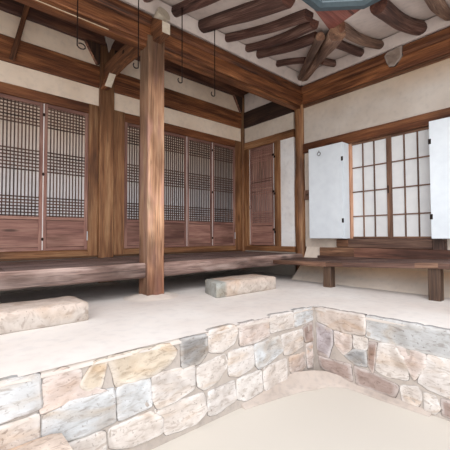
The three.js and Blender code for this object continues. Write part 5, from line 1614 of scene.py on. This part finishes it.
def gutter():
    """The court gutter with pale strips of painted highlight, and the board under its corner."""
    steel, highlights, boards = Piece(), Piece(), Piece()
    cut = CORNER_CUT

    def along(profile, piece, tone):
        rings = [[] for _ in range(4)]
        for by, z in profile:
            out = -EAVE - by
            bend = by * math.tan(math.pi / 8)
            corner = -EAVE - cut - bend
            for ring, (x, y) in zip(rings, ((WEST_END, out), (corner, out), (out, corner), (out, SOUTH_END))):
                ring.append(Vector((x, y, z)))
        loft(piece, rings, None, tone)

    low, high = level(2.74), level(2.848)
    trough = [
        (0.004, high), (0.004, low + 0.03), (0.03, low), (0.08, low), (0.106, low + 0.03), (0.108, high),
        (0.113, high), (0.113, high + 0.006), (0.1, high + 0.006), (0.098, low + 0.035), (0.078, low + 0.008),
        (0.032, low + 0.008), (0.01, low + 0.034), (0.01, high),
    ]
    along(trough[::-1], steel, shade(0.02))
    # A pale layer inside the trough: painted highlight.
    lip = [
        (0.012, high), (0.012, low + 0.04), (0.034, low + 0.01), (0.076, low + 0.01), (0.096, low + 0.037),
        (0.096, high + 0.004), (0.094, high + 0.004), (0.092, low + 0.04), (0.074, low + 0.014),
        (0.036, low + 0.014), (0.016, low + 0.042), (0.016, high),
    ]
    along(lip[::-1], highlights, shade(0.02))
    # Three pale strips on the outer face: painted highlights.
    for z0, z1 in ((low + 0.05, low + 0.057), (low + 0.064, low + 0.07), (low + 0.077, high + 0.005)):
        along([(0.1155, z1), (0.1155, z0), (0.111, z0), (0.111, z1)], highlights, shade(0.02, 1.2))
    steel.make("gutter_trough", GUTTER, "gutter_metal", ["gutter"])
    highlights.make("gutter_painted_highlight", GUTTER_HIGHLIGHT, "gutter_metal")
    nook = [
        (-EAVE - cut - 0.03, -EAVE + 0.004), (-EAVE + 0.004, -EAVE - cut - 0.03),
        (-EAVE + 0.09, -EAVE + 0.09),
    ]
    plate(boards, nook, flat, level(2.786), level(2.794), shade(0.03, 1.5))
    boards.make("eave_corner_board", FASCIA, "old_timber")


def hooks():
    """The four iron hooks under the eave that hold the lifted doors; the first is larger."""
    iron = Piece()
    y = -0.36
    for index, (x, z) in enumerate(((-3.604, 2.24), (-3.046, 2.24), (-2.548, 2.25), (-2.104, 2.23))):
        top, bottom = soffit(EAVE + y) - 0.08, level(z)
        turn, size, deep = (-1, 0.026, 1.0) if index else (1, 0.034, 0.7)
        stops = (0.3, 0.9, 1.57, 2.3, 3.1, 3.9) if index else (0.2, 0.8, 1.4, 2.0, 2.7, 3.4, 4.1, 4.8, 5.5)
        curl = [(x, y, top), (x, y, (top + bottom) / 2), (x, y, bottom + 0.05)]
        for t in stops:
            curl.append((x + turn * size * (1 - math.cos(t)), y, bottom + 0.028 - size * deep * math.sin(t)))
        log(iron, curl, [0.0055, 0.0055], 8, 0, 0.02, up=Y)
        ring(iron, (x, y, top + 0.012), 0.018, 0.004)
        timber(iron, (x, y, top + 0.02), (x, y, top + 0.09), 0.008, 0.008, Y, 0.001, 0)
    iron.make("door_lift_hooks", IRON, "iron")


# Rear and end walls


# Heights above the terrace of the undersides of the rails
RAILS = (0.3, 0.86, 1.9, 2.69)


def outer_wall(face, length, bays, windows, timbers, plaster, bars, paper, post_ends=(True, True)):
    """Posts, rails and plaster panels of a wall; face looks outwards, u from 0 to length."""
    bay = length / bays
    base, top = level(0.001), level(3.045)
    edges = sorted({0.0, length} | {a for w in windows for a in (w - 0.45, w + 0.45)})
    for a, b in zip(edges, edges[1:]):
        u = (a + b) / 2
        spans = [(base, top)]
        if any(abs(u - w) < 0.4 for w in windows):
            spans = [(base, level(1.0)), (level(1.9), top)]
        for low, high in spans:
            face.post(plaster, u, low, high, b - a, 0.148, 0.05, shade(0.015), 0.0, 0.001)
    for k in range(bays + 1):
        if (k == 0 and not post_ends[0]) or (k == bays and not post_ends[1]):
            continue
        u = min(max(k * bay, 0.098), length - 0.098)
        depth = 0.2 if k in (0, bays) else 0.1
        face.post(timbers, u, base, top, 0.2, depth, 0.1, None, 0.003, 0.01)
    for low in RAILS:
        high = min(low + 0.14, 3.045)
        z = level((low + high) / 2)
        face.rail(timbers, z, 0.0, length, high - low, 0.072, 0.075, None, 0.003, 0.01)
    for w in windows:
        window_bars(face, w, bars, paper)


def outer_walls():
    """Rear and east walls under the eaves, then the two gable walls with their king posts."""
    timbers, plaster, bars, paper = sets = [Piece() for _ in range(4)]
    length = EAST - WEST + 2 * HALF_POST
    face = Face((EAST + HALF_POST, REAR, 0), -X, Y)
    outer_wall(face, length, 3, [length * k / 6 for k in (1, 3, 5)], *sets)
    length = REAR - SOUTH + HALF_POST - 0.1003
    face = Face((EAST, SOUTH - HALF_POST, 0), Y, X)
    outer_wall(face, length, 4, [length * k / 8 for k in (1, 3, 5)], *sets, (True, False))
    for face, flip, a0, a1, stop in (
        (Face((WEST, 0, 0), -Y, -X), -1, INNER + 0.103, REAR - 0.1005, REAR + EAVE),
        (Face((0, SOUTH, 0), X, -Y), 1, 0.103, EAST - 0.1005, EAST + EAVE),
    ):
        middle, window = (-EAVE + stop) / 2, (a0 + a1) / 2
        windowed = flip == 1

        def top(at):
            return soffit(min(at + EAVE, stop - at)) - 0.004

        cells = {a0, *(a0 + (a1 - a0) * k / 6 for k in range(1, 6)), middle, a1}
        if windowed:
            cells |= {window - 0.45, window + 0.45}
        cells = sorted(cells)
        for a, b in zip(cells, cells[1:]):
            parts = [(level(0.032), None)]
            if windowed and abs((a + b) / 2 - window) < 0.44:
                parts = [(level(0.032), level(1.0)), (level(1.9), None)]
            for low, high in parts:
                outline = [
                    (flip * a, low), (flip * b, low), (flip * b, high or top(b)),
                    (flip * a, high or top(a)),
                ]
                plate(plaster, outline[::flip], face.at, 0.05, -0.098, shade(0.01))
        for low in RAILS:
            z = level(low + 0.07)
            face.rail(timbers, z, flip * a0, flip * a1, 0.14, 0.07, 0.075, None, 0.003, 0.01)
        if windowed:
            window_bars(face, window, bars, paper)
        king = flip * middle
        face.post(timbers, king, level(2.83), top(middle) - 0.02, 0.16, 0.07, 0.08, None, 0.003, 0.01)
    timbers.make("outer_wall_timbers", BEAM, "old_timber")
    plaster.make(
        "outer_wall_plaster", PLASTER, "plaster", ["rear_wall", "east_wall", "west_wall", "south_wall"]
    )
    bars.make("outer_window_bars", GOLD, "frame_timber")
    paper.make("outer_window_paper", PAPER, "paper", ["rear_screens", "east_screens", "south_screen"])


def window_bars(face, w, bars, paper):
    """A papered lattice window of an outer wall, its middle at w."""
    for s in (-1, 1):
        u = w + s * 0.427
        face.post(bars, u, level(1.0), level(1.9), 0.046, 0.05, 0.02, None, 0.001, 0.003)
    for z in (1.022, 1.878):
        face.rail(bars, level(z), w - 0.4, w + 0.4, 0.044, 0.05, 0.02, None, 0.001, 0.003)
    for k in range(1, 9):
        u = w - 0.404 + 0.808 * k / 9
        face.post(bars, u, level(1.04), level(1.86), 0.012, 0.016, 0.004)
    for k in range(1, 8):
        z = level(1.044 + 0.812 * k / 8)
        face.rail(bars, z, w - 0.404, w + 0.404, 0.012, 0.014, 0.003)
    face.post(paper, w, level(1.03), level(1.87), 0.82, 0.004, -0.018)


def room_floor():
    """The raised floors of the rooms, and the low walls below the doors."""
    floor = Piece()
    inset = HALF_POST + 0.0005
    north, base = INNER + inset, level(0.001)
    slab(
        floor, (WEST + inset, north, base), (0.09, REAR - inset, level(0.39)), shade(0.01), 0.002, 0.004,
        0.5,
    )
    corners = (0.09, SOUTH + inset, base), (EAST - inset, REAR - inset, level(0.39))
    slab(floor, *corners, shade(0.01), 0.002, 0.004, 0.5)
    for bay in range(2):
        left = WEST + bay * BAY + inset
        right = left + BAY - 2 * inset
        slab(floor, (left, 1.3, base), (right, north, level(0.3895)), shade(0.01, 0.5), 0.002)
    slab(floor, (-0.05, inset, base), (inset, INNER - inset, level(0.384)), shade(0.01, 0.6), 0.002)
    floor.make("room_floors", PLASTER, "plaster", ["room_floor"])


def steps():
    """The two stepping stones of the porch and the step up from the court."""
    low, high = (-4.5, -0.6, level(0.0005)), (-3.57, -0.23, level(0.15))
    rough_block("stepping_stone_1", low, high, "stepping_stone_left", tint("d5cec7"))
    low, high = (-2.25, -0.56, level(0.0005)), (-1.3, -0.19, level(0.16))
    rough_block("stepping_stone_2", low, high, "stepping_stone_right", tint("d8cfc6"), tint("b4b8b4"), 0.13)
    low, high = (-5.1, -1.8275, 0.0005), (-4.0, -1.4585, 0.316)
    rough_block("court_step", low, high, "courtyard_step", tint("e9e2da"))


# The whole house


terrace()
steps()
frame_posts()
frame_beams()
inner_wall()
return_wall()
wing_front()
floors()
room_floor()
roof_deck()
rafters()
roof_tiles()
ridges()
eave_trim()
gutter()
hooks()
outer_walls()


# Stage, light and camera


def stage():
    """A pale ground and soft light from the sky over the court."""
    bpy.ops.mesh.primitive_plane_add(size=120, location=(0, 0, -0.001))
    floor = bpy.context.object
    floor.name = "stage_floor"
    n = Nodes("stage_floor", 0.95)
    n.shader.inputs["Base Color"].default_value = (*rgb("d6d1c8"), 1)
    floor.data.materials.append(n.material)
    world = bpy.data.worlds.new("soft_sky")
    bpy.context.scene.world = world
    world.use_nodes = True
    back = world.node_tree.nodes["Background"]
    back.inputs["Color"].default_value = (0.97, 0.965, 1.0, 1)
    back.inputs["Strength"].default_value = 1.4
    for name, place, target, size, power, color in (
        ("sky_over_court", (-8.5, -7.5, 9.0), (-2.0, -0.6, 1.2), 9.0, 900, (1.0, 0.97, 0.95)),
        ("court_bounce", (-6.5, -7.0, 1.4), (-1.5, 0.2, 2.6), 5.0, 130, (1.0, 0.94, 0.9)),
    ):
        light = bpy.data.lights.new(name, "AREA")
        light.size, light.energy, light.color = size, power, color
        lamp = bpy.data.objects.new(name, light)
        lamp.location = place
        lamp.rotation_mode = "QUATERNION"
        lamp.rotation_quaternion = (Vector(target) - Vector(place)).to_track_quat("-Z", "Y")
        bpy.context.collection.objects.link(lamp)


def camera():
    """The camera of the photograph, solved from the edges of posts, beams and terrace."""
    data = bpy.data.cameras.new("camera")
    data.lens, data.sensor_width = 26.87, 36.0
    view = bpy.data.objects.new("camera", data)
    yaw, pitch, roll = 0.71742, 0.03321, -0.0039
    turn = Matrix.Rotation(-yaw, 4, "Z") @ Matrix.Rotation(math.pi / 2 + pitch, 4, "X")
    turn = turn @ Matrix.Rotation(roll, 4, "Z")
    view.matrix_world = Matrix.Translation((-4.4975, -3.2712, 1.2653)) @ turn
    bpy.context.collection.objects.link(view)
    bpy.context.scene.camera = view


stage()
camera()
bpy.context.scene.view_settings.view_transform = "Standard"
bpy.context.view_layer.update()
